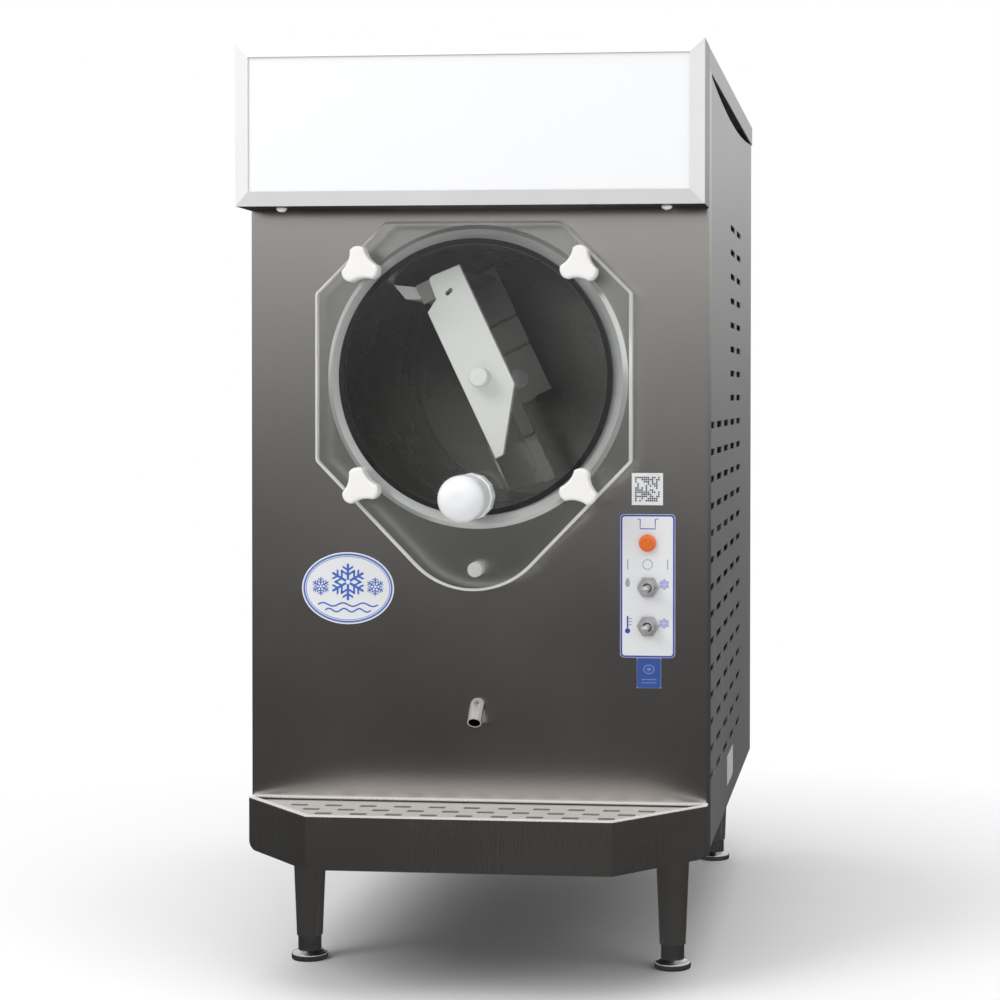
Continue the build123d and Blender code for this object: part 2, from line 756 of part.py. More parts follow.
with BuildPart() as toggle_switches:
    for z in switch_zs:
        with BuildSketch(facing(inside_front_y + 26)):
            with Locations((switch_x, z)):
                Rectangle(18, 28)
        extrude(amount=26)
        with BuildSketch(facing(inside_front_y)):
            with Locations((switch_x, z)):
                Circle(bushing_r)
        extrude(amount=inside_front_y - switch_front_y)
        with BuildSketch(facing(lever_pivot_y + 5)):
            with Locations((switch_x, z)):
                Circle(4.1)
        extrude(amount=20, mode=Mode.SUBTRACT)
    for z in switch_zs:
        with BuildSketch(facing(plate_front_y)):
            with Locations((switch_x, z)):
                RegularPolygon(9.8, 6)
                Circle(bushing_r + 0.05, mode=Mode.SUBTRACT)
        extrude(amount=3)


def make_lever(z):
    """A bat-shaped switch lever with the ball it turns on."""
    ball_r = 3.6
    bat_r = 3.2
    bat_length = 25.0
    with BuildPart() as lever:
        with BuildSketch(Plane.YZ.offset(switch_x)):
            with BuildLine():
                ball = CenterArc((lever_pivot_y, z), ball_r, 0, 153)
                bat = CenterArc((lever_pivot_y - bat_length + bat_r, z), bat_r, 95, 85)
                Line(ball @ 1, bat @ 0)
                Line(bat @ 1, ball @ 0)
            make_face()
        revolve(axis=depth_axis(switch_x, z))
    return lever


upper_switch_lever = make_lever(switch_zs[0])
lower_switch_lever = make_lever(switch_zs[1])

# --------------------------------------------------------------------- stickers
with BuildPart() as labels:
    label_thick = 0.4
    with BuildSketch(facing(front_y)):
        with Locations(badge_centre):
            Ellipse(*badge_radii)
        with Locations(code_centre):
            Rectangle(*code_size)
        with Locations(tag_centre):
            Rectangle(*tag_size)
    extrude(amount=label_thick)
    with BuildSketch(across(panel_outer_x)):
        with Locations(side_label_centre):
            Rectangle(*side_label_size)
    extrude(amount=label_thick)

# ------------------------------------------------------------ drain and gland
with BuildPart() as drain_tube:
    drain_r = 6.35
    drain_wall = 1.1
    with BuildLine() as drain_route:
        FilletPolyline((0, front_y + 40, drain_z), (0, front_y - 3.5, drain_z),
                       (0, front_y - 17, drain_z - 13.5), radius=7.5)
    with BuildSketch(facing(front_y + 40)):
        with Locations((0, drain_z)):
            Circle(drain_r)
            Circle(drain_r - drain_wall, mode=Mode.SUBTRACT)
    sweep(path=drain_route.line)

with BuildPart() as cord_gland:
    with BuildSketch(facing(rear_panel_y + gland_reach)):
        with Locations((gland_x, gland_z)):
            RegularPolygon(gland_nut_r, 6)
    extrude(amount=gland_reach)
    with BuildSketch(facing(rear_panel_y)):
        with Locations((gland_x, gland_z)):
            Circle(gland_r)
    extrude(amount=2 * gland_reach)
    with BuildSketch(facing(rear_panel_y + gland_reach)):
        with Locations((gland_x, gland_z)):
            Circle(gland_bore_r)
    extrude(amount=3 * gland_reach, mode=Mode.SUBTRACT)

box_screw_seats = [((side * box_screw_x, box_screw_y, lightbox_z), (0, 0, -1)) for side in (-1, 1)]
rear_screw_seats = [((x, rear_panel_y, z), (0, 1, 0)) for x, z in rear_screw_spots]

with BuildPart() as cover_screws:
    screw_head_r = 4.8
    screw_shank_r = 2.1
    screw_length = 7.5
    dome_r = 5.0
    dome_sink = 0.4
    rim_angle = degrees(asin((1.0 + dome_sink) / dome_r))
    for seat_point, outward in box_screw_seats + rear_screw_seats:
        across_dir = (1, 0, 0)
        normal = Vector(*outward).cross(Vector(*across_dir)) * -1
        with BuildSketch(Plane(origin=seat_point, x_dir=across_dir, z_dir=normal)):
            with BuildLine():
                dome = CenterArc((0, -dome_sink), dome_r, rim_angle, 90 - rim_angle)
                Polyline(dome @ 1, (0, -screw_length), (screw_shank_r, -screw_length), (screw_shank_r, 0),
                         (screw_head_r, 0), dome @ 0)
            make_face()
        revolve(axis=Axis(seat_point, outward))

# ---------------------------------------------------------------------- beater
with BuildPart() as beater_bar:
    with BuildSketch(leaning(bar_front_y + bar_thick)) as bar_sketch:
        with BuildLine():
            Polyline((-5.6, 100.3), (24.8, 98.6), (24.8, -17.6), (-11.3, -70.6), (-19.0, -70.8),
                     (-19.0, 72.1), (-7.0, 79.7), (-5.6, 100.3))
        make_face()
        fillet(bar_sketch.vertices().group_by(Axis.Y)[-1], 5)
        with Locations((6.3, 80.6)):
            SlotOverall(8, 4, rotation=20, mode=Mode.SUBTRACT)
        Circle(6, mode=Mode.SUBTRACT)
    extrude(amount=bar_thick)
    fillet(beater_bar.faces().sort_by(Axis.Y)[0].outer_wire().edges(), 1.0)

with BuildPart() as beater_pin:
    with BuildSketch(facing(bar_front_y)):
        with Locations((0, barrel_z)):
            Circle(9)
    extrude(amount=14.5)
    fillet(beater_pin.edges().group_by(Axis.Y)[0], 2.5)
    with BuildSketch(facing(bar_front_y + bar_thick)):
        with Locations((0, barrel_z)):
            Circle(6)
    extrude(amount=bar_thick)

ear_back_y = bar_front_y + bar_thick + plate
pivot_along = -blade_pivot_x * sin(radians(beater_tilt)) + blade_pivot_z * cos(radians(beater_tilt))
pivot_across = blade_pivot_x * cos(radians(beater_tilt)) + blade_pivot_z * sin(radians(beater_tilt))

with BuildPart() as beater_frame:
    arm_back_y = arm_front_y + plate
    with BuildSketch(leaning(arm_back_y)):
        with Locations((2.5, 43)):
            Rectangle(45, 130)
        with Locations((-14, -62)):
            Rectangle(12, 80)
        Circle(24)
    extrude(amount=plate)
    with BuildSketch(leaning(ear_back_y)):
        with Locations((2, 90)):
            Rectangle(44, 18)
    extrude(amount=plate)
    with BuildSketch(leaning(arm_front_y)):
        with Locations((8, 97.5)):
            Rectangle(26, plate)
    extrude(amount=arm_front_y - ear_back_y)
    with BuildSketch(leaning(arm_front_y)):
        with Locations((pivot_across, pivot_along)):
            Circle(blade_pin_r)
    extrude(amount=arm_front_y - ear_back_y)
    with BuildSketch(leaning(arm_back_y + 22)):
        Circle(17)
    extrude(amount=22)
    with BuildSketch(leaning(arm_back_y + 22)):
        Circle(shaft_r)
    extrude(amount=22 + plate, mode=Mode.SUBTRACT)
    fold_lines = ((57.0, 5), (27.5, 4), (-53.5, 3))
    for along, height in fold_lines:
        with BuildSketch(leaning(arm_front_y)):
            with Locations((2.5 if along > 0 else -14, along)):
                Rectangle(45 if along > 0 else 12, 3)
        extrude(amount=height, taper=14)

with BuildPart() as lower_scraper:
    with BuildSketch(leaning(arm_front_y)):
        with Locations((-20, -80)):
            Rectangle(2, 42)
    extrude(amount=arm_front_y - bar_front_y - 1)

with BuildPart() as upper_scraper:
    tip_r = barrel_bore_r - 0.5
    tip_x = tip_r * -0.7010
    tip_z = tip_r * 0.7132
    with BuildSketch(Plane(origin=(0, arm_front_y - 0.3, barrel_z), x_dir=(1, 0, 0), z_dir=(0, -1, 0))):
        with BuildLine():
            Polyline((tip_x, tip_z), (-69.7, 69.4), (blade_pivot_x, 69.4), (blade_pivot_x, 79.0),
                     (tip_x, tip_z))
        make_face()
        with Locations((blade_pivot_x, blade_pivot_z)):
            Circle(4.8)
            Circle(blade_pin_r + running_gap, mode=Mode.SUBTRACT)
    extrude(amount=arm_front_y - ear_back_y - 0.6)

with BuildPart() as drive_shaft:
    with BuildSketch(facing(gearbox_y + 50)):
        with Locations((0, barrel_z)):
            Circle(shaft_r)
    extrude(amount=gearbox_y + 50 - arm_front_y)

# ------------------------------------------------------------------ front plate
with BuildPart() as front_plate:
    plate_half = 139.0
    shoulder_half = 77.0
    plate_top_z = 665.0
    shoulder_z = 603.0
    hip_z = 457.0
    nose_z = 313.0
    with BuildSketch(facing(door_back_y)) as plate_outline:
        with BuildLine():
            Polyline((-shoulder_half, plate_top_z), (shoulder_half, plate_top_z), (plate_half, shoulder_z),
                     (plate_half, hip_z), (0, nose_z), (-plate_half, hip_z), (-plate_half, shoulder_z),
                     (-shoulder_half, plate_top_z))
        make_face()
        fillet(plate_outline.vertices().sort_by(Axis.Y)[0], 72)
        fillet(plate_outline.vertices().filter_by(lambda vertex: vertex.Y > hip_z - 1), 6)
        with Locations(*stud_spots):
            Circle(stud_r + 0.4, mode=Mode.SUBTRACT)
        with Locations((0, valve_z)):
            Circle(11.9, mode=Mode.SUBTRACT)
    extrude(amount=door_thick)
    chamfer(front_plate.faces().sort_by(Axis.Y)[0].outer_wire().edges(), 2.5)
    chamfer(front_plate.faces().sort_by(Axis.Y)[-1].outer_wire().edges(), 1.0)

with BuildPart() as nose_bumper:
    with BuildSketch(facing(front_y)):
        with Locations((0, bumper_z)):
            Circle(6.5)
    extrude(amount=front_y - door_back_y)
    fillet(nose_bumper.edges().group_by(Axis.Y)[-1], 1.0)


def make_knob(x, z, turn):
    """A three-lobed clamping knob with a blind bore for its stud."""
    lobe_r = 8.2
    lobe_spread = 9.0
    hollow_r = 21.0
    hub_length = 5.0
    with BuildPart() as knob:
        lean = radians(turn)
        seat = Plane(origin=(x, door_front_y, z), x_dir=(cos(lean), 0, sin(lean)), z_dir=(0, -1, 0))
        with BuildSketch(seat):
            Circle(9.5)
        extrude(amount=hub_length)
        with BuildSketch(seat.offset(hub_length)) as lobes:
            with PolarLocations(0, 1, start_angle=90):
                RegularPolygon(lobe_spread + 2 * lobe_r, 3)
            fillet(lobes.vertices(), lobe_r)
            with PolarLocations(hollow_r + 10.5, 3, start_angle=30):
                Circle(hollow_r, mode=Mode.SUBTRACT)
        extrude(amount=knob_depth - hub_length)
        fillet(knob.faces().sort_by(Axis.Y)[0].edges(), 2.5)
        with BuildSketch(seat):
            Circle(stud_r + running_gap)
        extrude(amount=16, mode=Mode.SUBTRACT)
    return knob


upper_left_knob = make_knob(-knob_x, knob_z_high, 8)
upper_right_knob = make_knob(knob_x, knob_z_high, -5)
lower_left_knob = make_knob(-knob_x, knob_z_low, 12)
lower_right_knob = make_knob(knob_x, knob_z_low, -10)

# ------------------------------------------------------------------ push valve
with BuildPart() as valve_body:
    collar_front_y = door_front_y - 13.3
    neck_front_y = collar_front_y - 26.0
    spring_seat_y = collar_front_y - 7.0
    with BuildSketch(facing(door_front_y)) as collar_sketch:
        with Locations((0, valve_z)):
            RegularPolygon(valve_collar_r, 12)
    extrude(amount=door_front_y - collar_front_y)
    with BuildSketch(facing(collar_front_y)):
        with Locations((0, valve_z)):
            Circle(valve_neck_r)
    extrude(amount=collar_front_y - neck_front_y)
    with BuildSketch(facing(door_back_y)):
        with Locations((0, valve_z)):
            Circle(11.8)
    extrude(amount=door_thick)
    with BuildSketch(facing(door_back_y)):
        with Locations((0, valve_z)):
            Circle(valve_bore_r)
    extrude(amount=door_back_y - neck_front_y, mode=Mode.SUBTRACT)
    with BuildSketch(facing(spring_seat_y)):
        with Locations((0, valve_z)):
            Circle(14)
    extrude(amount=30, mode=Mode.SUBTRACT)
    with BuildSketch(Plane.XY.offset(valve_z - valve_collar_r - 1)):
        with Locations((0, door_front_y - 7)):
            Circle(5.8)
    extrude(amount=valve_collar_r, mode=Mode.SUBTRACT)

with BuildPart() as valve_plunger:
    cap_back_y = collar_front_y - 13.0
    cap_wall_y = neck_front_y - 13.0
    with BuildSketch(Plane.YZ):
        with BuildLine():
            Polyline((valve_tip_y, valve_z), (door_back_y + 5, valve_z), (door_back_y + 5, valve_z + 10.4),
                     (door_back_y, valve_z + 10.4), (door_back_y, valve_z + 5), (collar_front_y, valve_z + 5),
                     (collar_front_y, valve_z + valve_bore_r - running_gap),
                     (collar_front_y - 5, valve_z + valve_bore_r - running_gap),
                     (collar_front_y - 5, valve_z + 5), (cap_wall_y, valve_z + 5),
                     (cap_wall_y, valve_z + valve_neck_r + 0.3), (cap_back_y, valve_z + valve_neck_r + 0.3),
                     (cap_back_y, valve_z + valve_cap_r), (valve_tip_y, valve_z + valve_cap_r),
                     (valve_tip_y, valve_z))
        make_face()
    revolve(axis=depth_axis(0, valve_z))
    fillet(valve_plunger.edges().group_by(Axis.Y)[0], 15)

with BuildPart() as valve_spring:
    spring_wire_r = 0.8
    spring_r = 11.0
    spring_length = spring_seat_y - cap_wall_y - 2 * spring_wire_r - 0.2
    with BuildLine() as spring_route:
        Helix(pitch=spring_length / 6, height=spring_length, radius=spring_r,
              center=(0, spring_seat_y - spring_wire_r - 0.1, valve_z), direction=(0, -1, 0))
    spring_start = spring_route.line @ 0
    with BuildSketch(Plane(origin=spring_start, z_dir=spring_route.line % 0)):
        Circle(spring_wire_r)
    sweep(path=spring_route.line, is_frenet=True)

# ------------------------------------------------------------------- drip tray
def tray_plan(inset):
    """Plan of the tray: square to the panel at the back, with long cut corners."""
    side_y = front_y - tray_side
    far_y = front_y - tray_reach
    with BuildSketch() as plan:
        with BuildLine():
            Polyline((-half_width, front_y), (-half_width, side_y), (-tray_front_half, far_y),
                     (tray_front_half, far_y), (half_width, side_y), (half_width, front_y),
                     (-half_width, front_y))
        make_face()
        if inset > 0:
            offset(amount=-inset, kind=Kind.INTERSECTION)
    return plan.sketch


with BuildPart() as drip_pan:
    rim_thick = 1.6
    corner_r = 8.0
    with BuildSketch(Plane.XY.offset(base_z)):
        add(tray_plan(0))
    extrude(amount=tray_rim_z - base_z)
    side_edges = drip_pan.edges().filter_by(Axis.Y).group_by(Axis.Z)[0]
    fillet(side_edges, corner_r)
    with BuildSketch(Plane.XY.offset(base_z + sheet)):
        add(tray_plan(sheet))
    extrude(amount=tray_rim_z - base_z - sheet - rim_thick, mode=Mode.SUBTRACT)
    with BuildSketch(Plane.XY.offset(base_z + sheet)):
        add(tray_plan(tray_rim_width))
    extrude(amount=tray_rim_z - base_z, mode=Mode.SUBTRACT)
    with BuildSketch(facing(hook_back_y)):
        with Locations(*[(x, (hook_low_z + hook_high_z) / 2) for x in (-hook_x, hook_x)]):
            Rectangle(hook_width, hook_high_z - hook_low_z)
    extrude(amount=hook_back_y - front_y)
    with BuildSketch(facing(hook_back_y)):
        with Locations(*[(x, (lip_low_z + hook_high_z) / 2) for x in (-hook_x, hook_x)]):
            Rectangle(hook_width, hook_high_z - lip_low_z)
    extrude(amount=sheet)

with BuildPart() as drip_grid:
    grid_sheet = 1.2
    slot_pitch = 30.5
    slot_rows = ((28.0, 5, 0.0), (47.0, 4, 0.5), (66.0, 4, 0.0))
    with BuildSketch(Plane.XY.offset(grid_z)):
        add(tray_plan(tray_rim_width + grid_gap))
        for reach, count, shift in slot_rows:
            spots = [((column + shift) * slot_pitch, front_y - reach)
                     for column in range(-count - (1 if shift else 0), count + 1)]
            with Locations(*spots):
                RectangleRounded(15, 8, 2, mode=Mode.SUBTRACT)
    extrude(amount=grid_sheet)
    stand_z = base_z + sheet
    with BuildSketch(Plane.XY.offset(stand_z)):
        with Locations((-158, front_y - 12), (158, front_y - 12), (-112, front_y - 82), (112, front_y - 82)):
            Rectangle(16, grid_sheet)
    extrude(amount=grid_z - stand_z)

# -------------------------------------------------------------- legs and feet
leg_top_r = 15.5
leg_low_r = 11.75

with BuildPart() as legs:
    for x, y in leg_spots:
        with BuildSketch(Plane.XY.offset(leg_foot_z)):
            with Locations((x, y)):
                Circle(leg_low_r)
        with BuildSketch(Plane.XY.offset(base_z)):
            with Locations((x, y)):
                Circle(leg_top_r)
        loft()
        with BuildSketch(Plane.XY.offset(base_z)):
            with Locations((x, y)):
                Circle(5)
        extrude(amount=8)
    with BuildSketch(Plane.XY.offset(leg_foot_z)):
        with Locations(*leg_spots):
            Circle(foot_stud_r + running_gap)
    extrude(amount=42, mode=Mode.SUBTRACT)


def make_foot(x, y):
    """A levelling foot: a rounded flange, a neck and the stud that screws into the leg."""
    neck_r = 10.5
    flange_r = 16.5
    with BuildPart() as foot:
        with BuildSketch(Plane(origin=(x, y, 0), x_dir=(1, 0, 0), z_dir=(0, -1, 0))):
            with BuildLine():
                Polyline((0, 38 + leg_foot_z), (0, 0), (flange_r - 1.5, 0))
                ThreePointArc((flange_r - 1.5, 0), (flange_r - 0.44, 0.44), (flange_r, 1.5))
                Line((flange_r, 1.5), (flange_r, 4.5))
                ThreePointArc((flange_r, 4.5), (flange_r - 0.73, 6.27), (flange_r - 2.5, 7))
                Polyline((flange_r - 2.5, 7), (neck_r, 8.5), (neck_r, leg_foot_z - 0.1),
                         (foot_stud_r, leg_foot_z - 0.1), (foot_stud_r, 38 + leg_foot_z),
                         (0, 38 + leg_foot_z))
            make_face()
        revolve(axis=Axis((x, y, 0), (0, 0, 1)))
    return foot


foot_front_left = make_foot(-leg_x, leg_ys[0])
foot_front_right = make_foot(leg_x, leg_ys[0])
foot_rear_left = make_foot(-leg_x, leg_ys[1])
foot_rear_right = make_foot(leg_x, leg_ys[1])

# ---------------------------------------------------------------------- output
pieces = {
    "base_pan": base_pan,
    "frame": frame,
    "front_panel": front_panel,
    "left_side_panel": left_side_panel,
    "right_side_panel": right_side_panel,
    "rear_panel": rear_panel,
    "top_cover": top_cover,
    "lightbox_housing": lightbox_housing,
    "lightbox_bezel": lightbox_bezel,
    "lightbox_diffuser": lightbox_diffuser,
    "lightbox_lamp": lightbox_lamp,
    "cover_screws": cover_screws,
    "freezing_barrel": freezing_barrel,
    "barrel_ring": barrel_ring,
    "door_gasket": door_gasket,
    "evaporator_coil": evaporator_coil,
    "barrel_insulation": barrel_insulation,
    "door_studs": door_studs,
    "fill_chute": fill_chute,
    "fill_lid": fill_lid,
    "gearbox": gearbox,
    "drive_motor": drive_motor,
    "compressor": compressor,
    "compressor_mounts": compressor_mounts,
    "condenser_coil": condenser_coil,
    "fan_shroud": fan_shroud,
    "fan_motor": fan_motor,
    "fan_blade": fan_blade,
    "refrigerant_lines": refrigerant_lines,
    "control_box": control_box,
    "control_plate": control_plate,
    "pilot_lamp": pilot_lamp,
    "toggle_switches": toggle_switches,
    "upper_switch_lever": upper_switch_lever,
    "lower_switch_lever": lower_switch_lever,
    "labels": labels,
    "drain_tube": drain_tube,
    "cord_gland": cord_gland,
    "beater_bar": beater_bar,
    "beater_pin": beater_pin,
    "beater_frame": beater_frame,
    "lower_scraper": lower_scraper,
    "upper_scraper": upper_scraper,
    "drive_shaft": drive_shaft,
    "front_plate": front_plate,
    "nose_bumper": nose_bumper,
    "upper_left_knob": upper_left_knob,
    "upper_right_knob": upper_right_knob,
    "lower_left_knob": lower_left_knob,
    "lower_right_knob": lower_right_knob,
    "valve_body": valve_body,
    "valve_plunger": valve_plunger,
    "valve_spring": valve_spring,
    "drip_pan": drip_pan,
    "drip_grid": drip_grid,
    "legs": legs,
    "foot_front_left": foot_front_left,
    "foot_front_right": foot_front_right,
    "foot_rear_left": foot_rear_left,
    "foot_rear_right": foot_rear_right,
}

os.makedirs("parts", exist_ok=True)
for name, piece in pieces.items():
    piece.part.label = name
    export_step(piece.part, f"parts/{name}.step")
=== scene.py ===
from math import cos, pi, radians, sin

import bmesh
import bpy
from mathutils import Matrix, Vector


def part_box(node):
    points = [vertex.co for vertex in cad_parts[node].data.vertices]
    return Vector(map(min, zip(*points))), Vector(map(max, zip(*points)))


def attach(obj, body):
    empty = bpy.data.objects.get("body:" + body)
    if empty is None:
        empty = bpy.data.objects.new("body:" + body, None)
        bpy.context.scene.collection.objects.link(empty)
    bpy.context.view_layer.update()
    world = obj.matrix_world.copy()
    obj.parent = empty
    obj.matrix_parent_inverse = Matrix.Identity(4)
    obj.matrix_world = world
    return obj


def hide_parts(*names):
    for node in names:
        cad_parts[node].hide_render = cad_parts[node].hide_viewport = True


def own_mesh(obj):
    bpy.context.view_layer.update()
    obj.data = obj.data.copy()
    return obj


bl_info = {
    "name": "Countertop ice cream maker",
    "version": (1, 0, 0),
    "blender": (4, 5, 0),
    "location": "View3D > Sidebar > Ice Cream Maker",
    "description": "Finishes, printed films and small repeated parts of a countertop ice cream maker",
    "category": "Object",
}

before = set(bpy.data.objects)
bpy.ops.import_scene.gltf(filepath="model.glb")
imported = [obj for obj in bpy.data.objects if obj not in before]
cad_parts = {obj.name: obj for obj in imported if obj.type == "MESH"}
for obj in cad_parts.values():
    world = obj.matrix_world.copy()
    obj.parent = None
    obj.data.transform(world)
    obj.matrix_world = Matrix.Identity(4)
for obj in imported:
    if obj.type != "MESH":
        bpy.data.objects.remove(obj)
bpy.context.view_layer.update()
MM = 0.001


# ------------------------------------------------------------------ settings
class FinishSettings(bpy.types.PropertyGroup):
    """Colours and roughness of the machine's surfaces."""

    sheet_colour: bpy.props.FloatVectorProperty(
        name="Sheet steel", description="Reflected colour of the cabinet's stainless sheets",
        subtype="COLOR", size=3, min=0, max=1, default=(0.60, 0.575, 0.55))
    side_colour: bpy.props.FloatVectorProperty(
        name="Side steel", description="Reflected colour of the side sheets and the cover",
        subtype="COLOR", size=3, min=0, max=1, default=(0.40, 0.40, 0.405))
    barrel_colour: bpy.props.FloatVectorProperty(
        name="Barrel steel", description="Reflected colour inside the freezing barrel",
        subtype="COLOR", size=3, min=0, max=1, default=(0.27, 0.262, 0.25))
    sheet_roughness: bpy.props.FloatProperty(
        name="Sheet roughness", description="How dull the brushed sheets are",
        min=0.05, max=0.9, default=0.25)
    plastic_colour: bpy.props.FloatVectorProperty(
        name="White plastic", description="Colour of the knobs and the beater's bar",
        subtype="COLOR", size=3, min=0, max=1, default=(0.83, 0.82, 0.81))
    print_colour: bpy.props.FloatVectorProperty(
        name="Print blue", description="Blue of the printed films",
        subtype="COLOR", size=3, min=0, max=1, default=(0.035, 0.075, 0.42))


class PrintSettings(bpy.types.PropertyGroup):
    """Sizes of the films printed on the plate, badge and stickers."""

    film: bpy.props.FloatProperty(
        name="Film", description="Thickness of the printed film",
        unit="LENGTH", min=0.00002, max=0.001, default=0.00008)
    border: bpy.props.FloatProperty(
        name="Border", description="Width of the line around the control plate",
        unit="LENGTH", min=0.0005, max=0.005, default=0.0018)
    crystal: bpy.props.FloatProperty(
        name="Crystal", description="Radius of a snow crystal beside a switch",
        unit="LENGTH", min=0.001, max=0.02, default=0.0049)
    badge_crystal: bpy.props.FloatProperty(
        name="Badge crystal", description="Radius of the snow crystal on the oval badge",
        unit="LENGTH", min=0.005, max=0.03, default=0.0165)
    code_cells: bpy.props.IntProperty(
        name="Code dots", description="Dots along one side of the code label's pattern",
        min=4, max=24, default=12)


class DetailSettings(bpy.types.PropertyGroup):
    """Sizes of the small parts that repeat."""

    screw_head: bpy.props.FloatProperty(
        name="Screw head", description="Radius of a cover screw's head",
        unit="LENGTH", min=0.002, max=0.01, default=0.0048)
    screw_rise: bpy.props.FloatProperty(
        name="Screw rise", description="Height of a cover screw's domed head",
        unit="LENGTH", min=0.001, max=0.005, default=0.0032)
    fin_pitch: bpy.props.FloatProperty(
        name="Fin pitch", description="Distance between two condenser fins",
        unit="LENGTH", min=0.002, max=0.02, default=0.0032)
    fin_sheet: bpy.props.FloatProperty(
        name="Fin sheet", description="Thickness of a condenser fin",
        unit="LENGTH", min=0.0001, max=0.002, default=0.0004)


class StageSettings(bpy.types.PropertyGroup):
    """Floor, lights and camera."""

    floor_size: bpy.props.FloatProperty(
        name="Floor", description="Side of the square floor",
        unit="LENGTH", min=2, max=40, default=24)
    key_power: bpy.props.FloatProperty(
        name="Key light", description="Power of the soft light at the upper left",
        unit="POWER", min=0, max=1000, default=28)
    fill_power: bpy.props.FloatProperty(
        name="Fill light", description="Power of the soft light at the right",
        unit="POWER", min=0, max=1000, default=8)
    top_power: bpy.props.FloatProperty(
        name="Top light", description="Power of the wide light overhead",
        unit="POWER", min=0, max=1000, default=28)
    ambient: bpy.props.FloatProperty(
        name="Ambient", description="Brightness of the white room around the machine",
        min=0, max=2, default=0.75)
    lens: bpy.props.FloatProperty(
        name="Lens", description="Focal length on a 36 mm sensor, in millimetres",
        min=20, max=300, default=82.33)


SETTINGS = {
    "maker_finish": FinishSettings,
    "maker_print": PrintSettings,
    "maker_detail": DetailSettings,
    "maker_stage": StageSettings,
}


# ------------------------------------------------------------ material helpers
def new_material(name):
    """A node material, its tree and its Principled shader."""
    material = bpy.data.materials.new(name)
    material.use_nodes = True
    tree = material.node_tree
    return material, tree, tree.nodes["Principled BSDF"]


def mapped(tree, scale, location=(0, 0, 0), rotation=(0, 0, 0)):
    """Object coordinates through a Mapping node."""
    coordinates = tree.nodes.new("ShaderNodeTexCoord")
    mapping = tree.nodes.new("ShaderNodeMapping")
    mapping.vector_type = "POINT"
    mapping.inputs["Location"].default_value = location
    mapping.inputs["Rotation"].default_value = rotation
    mapping.inputs["Scale"].default_value = scale
    tree.links.new(coordinates.outputs["Object"], mapping.inputs["Vector"])
    return mapping.outputs["Vector"]


def noise(tree, vector, scale=1.0, detail=4.0, rough=0.55):
    """The value of a noise texture."""
    node = tree.nodes.new("ShaderNodeTexNoise")
    node.inputs["Scale"].default_value = scale
    node.inputs["Detail"].default_value = detail
    node.inputs["Roughness"].default_value = rough
    tree.links.new(vector, node.inputs["Vector"])
    return node.outputs["Fac"]


def spread(tree, value, low, high, start=0.3, end=0.7):
    """A value stretched from start and end onto low and high."""
    node = tree.nodes.new("ShaderNodeMapRange")
    node.inputs["From Min"].default_value = start
    node.inputs["From Max"].default_value = end
    node.inputs["To Min"].default_value = low
    node.inputs["To Max"].default_value = high
    tree.links.new(value, node.inputs["Value"])
    return node.outputs["Result"]


def tint(tree, value, dark, light):
    """A colour between dark and light, picked by value."""
    ramp = tree.nodes.new("ShaderNodeValToRGB")
    ramp.color_ramp.elements[0].color = (*dark, 1)
    ramp.color_ramp.elements[1].color = (*light, 1)
    tree.links.new(value, ramp.inputs["Fac"])
    return ramp.outputs["Color"]


def scaled(colour, factor):
    return tuple(min(1.0, channel * factor) for channel in colour)


def bump(tree, shader, height, distance, strength=1.0):
    """Bump on a shader from a height value."""
    node = tree.nodes.new("ShaderNodeBump")
    node.inputs["Strength"].default_value = strength
    node.inputs["Distance"].default_value = distance
    tree.links.new(height, node.inputs["Height"])
    tree.links.new(node.outputs["Normal"], shader.inputs["Normal"])


# ------------------------------------------------------------------- materials
def brushed_sheet(name, colour, roughness, grain=(1400, 1400, 5), cloud=5.0, contrast=0.07,
                  anisotropy=0.55, metal=1.0, rim_z=None):
    """Sheet steel brushed along its least grain frequency, with a painted highlight on the edge above rim_z.
    """
    material, tree, shader = new_material(name)
    shader.inputs["Metallic"].default_value = metal
    shader.inputs["Anisotropic"].default_value = anisotropy
    streaks = noise(tree, mapped(tree, grain), detail=3)
    clouds = noise(tree, mapped(tree, (cloud, cloud, cloud)), detail=5)
    blend = tree.nodes.new("ShaderNodeMath")
    blend.operation = "MULTIPLY_ADD"
    blend.inputs[1].default_value = 0.5
    tree.links.new(streaks, blend.inputs[0])
    half_clouds = spread(tree, clouds, 0.0, 0.5)
    tree.links.new(half_clouds, blend.inputs[2])
    wear = blend.outputs[0]
    colour_socket = tint(tree, wear, scaled(colour, 1 - contrast), scaled(colour, 1 + contrast))
    # Painted highlight: above rim_z the colour turns pale grey and the metallic drops to 0.25, so the rim
    # edge shows bright under any light.
    if rim_z is not None:
        height = tree.nodes.new("ShaderNodeSeparateXYZ")
        tree.links.new(mapped(tree, (1, 1, 1)), height.inputs["Vector"])
        rim = spread(tree, height.outputs["Z"], 0, 1, rim_z, rim_z + 0.0004)
        rim_highlight = tree.nodes.new("ShaderNodeMix")
        rim_highlight.data_type = "RGBA"
        rim_highlight_in = [socket for socket in rim_highlight.inputs if socket.type == "RGBA"]
        rim_highlight_in[1].default_value = (0.9, 0.9, 0.89, 1)
        tree.links.new(rim, rim_highlight.inputs["Factor"])
        tree.links.new(colour_socket, rim_highlight_in[0])
        colour_socket = [socket for socket in rim_highlight.outputs if socket.type == "RGBA"][0]
        tree.links.new(spread(tree, rim, metal, 0.25, 0, 1), shader.inputs["Metallic"])
    tree.links.new(colour_socket, shader.inputs["Base Color"])
    tree.links.new(spread(tree, wear, roughness - 0.012, roughness + 0.018), shader.inputs["Roughness"])
    tangent = tree.nodes.new("ShaderNodeTangent")
    tangent.direction_type = "RADIAL"
    tangent.axis = "Z"
    tree.links.new(tangent.outputs["Tangent"], shader.inputs["Tangent"])
    bump(tree, shader, clouds, 0.00002, 0.1)
    return material


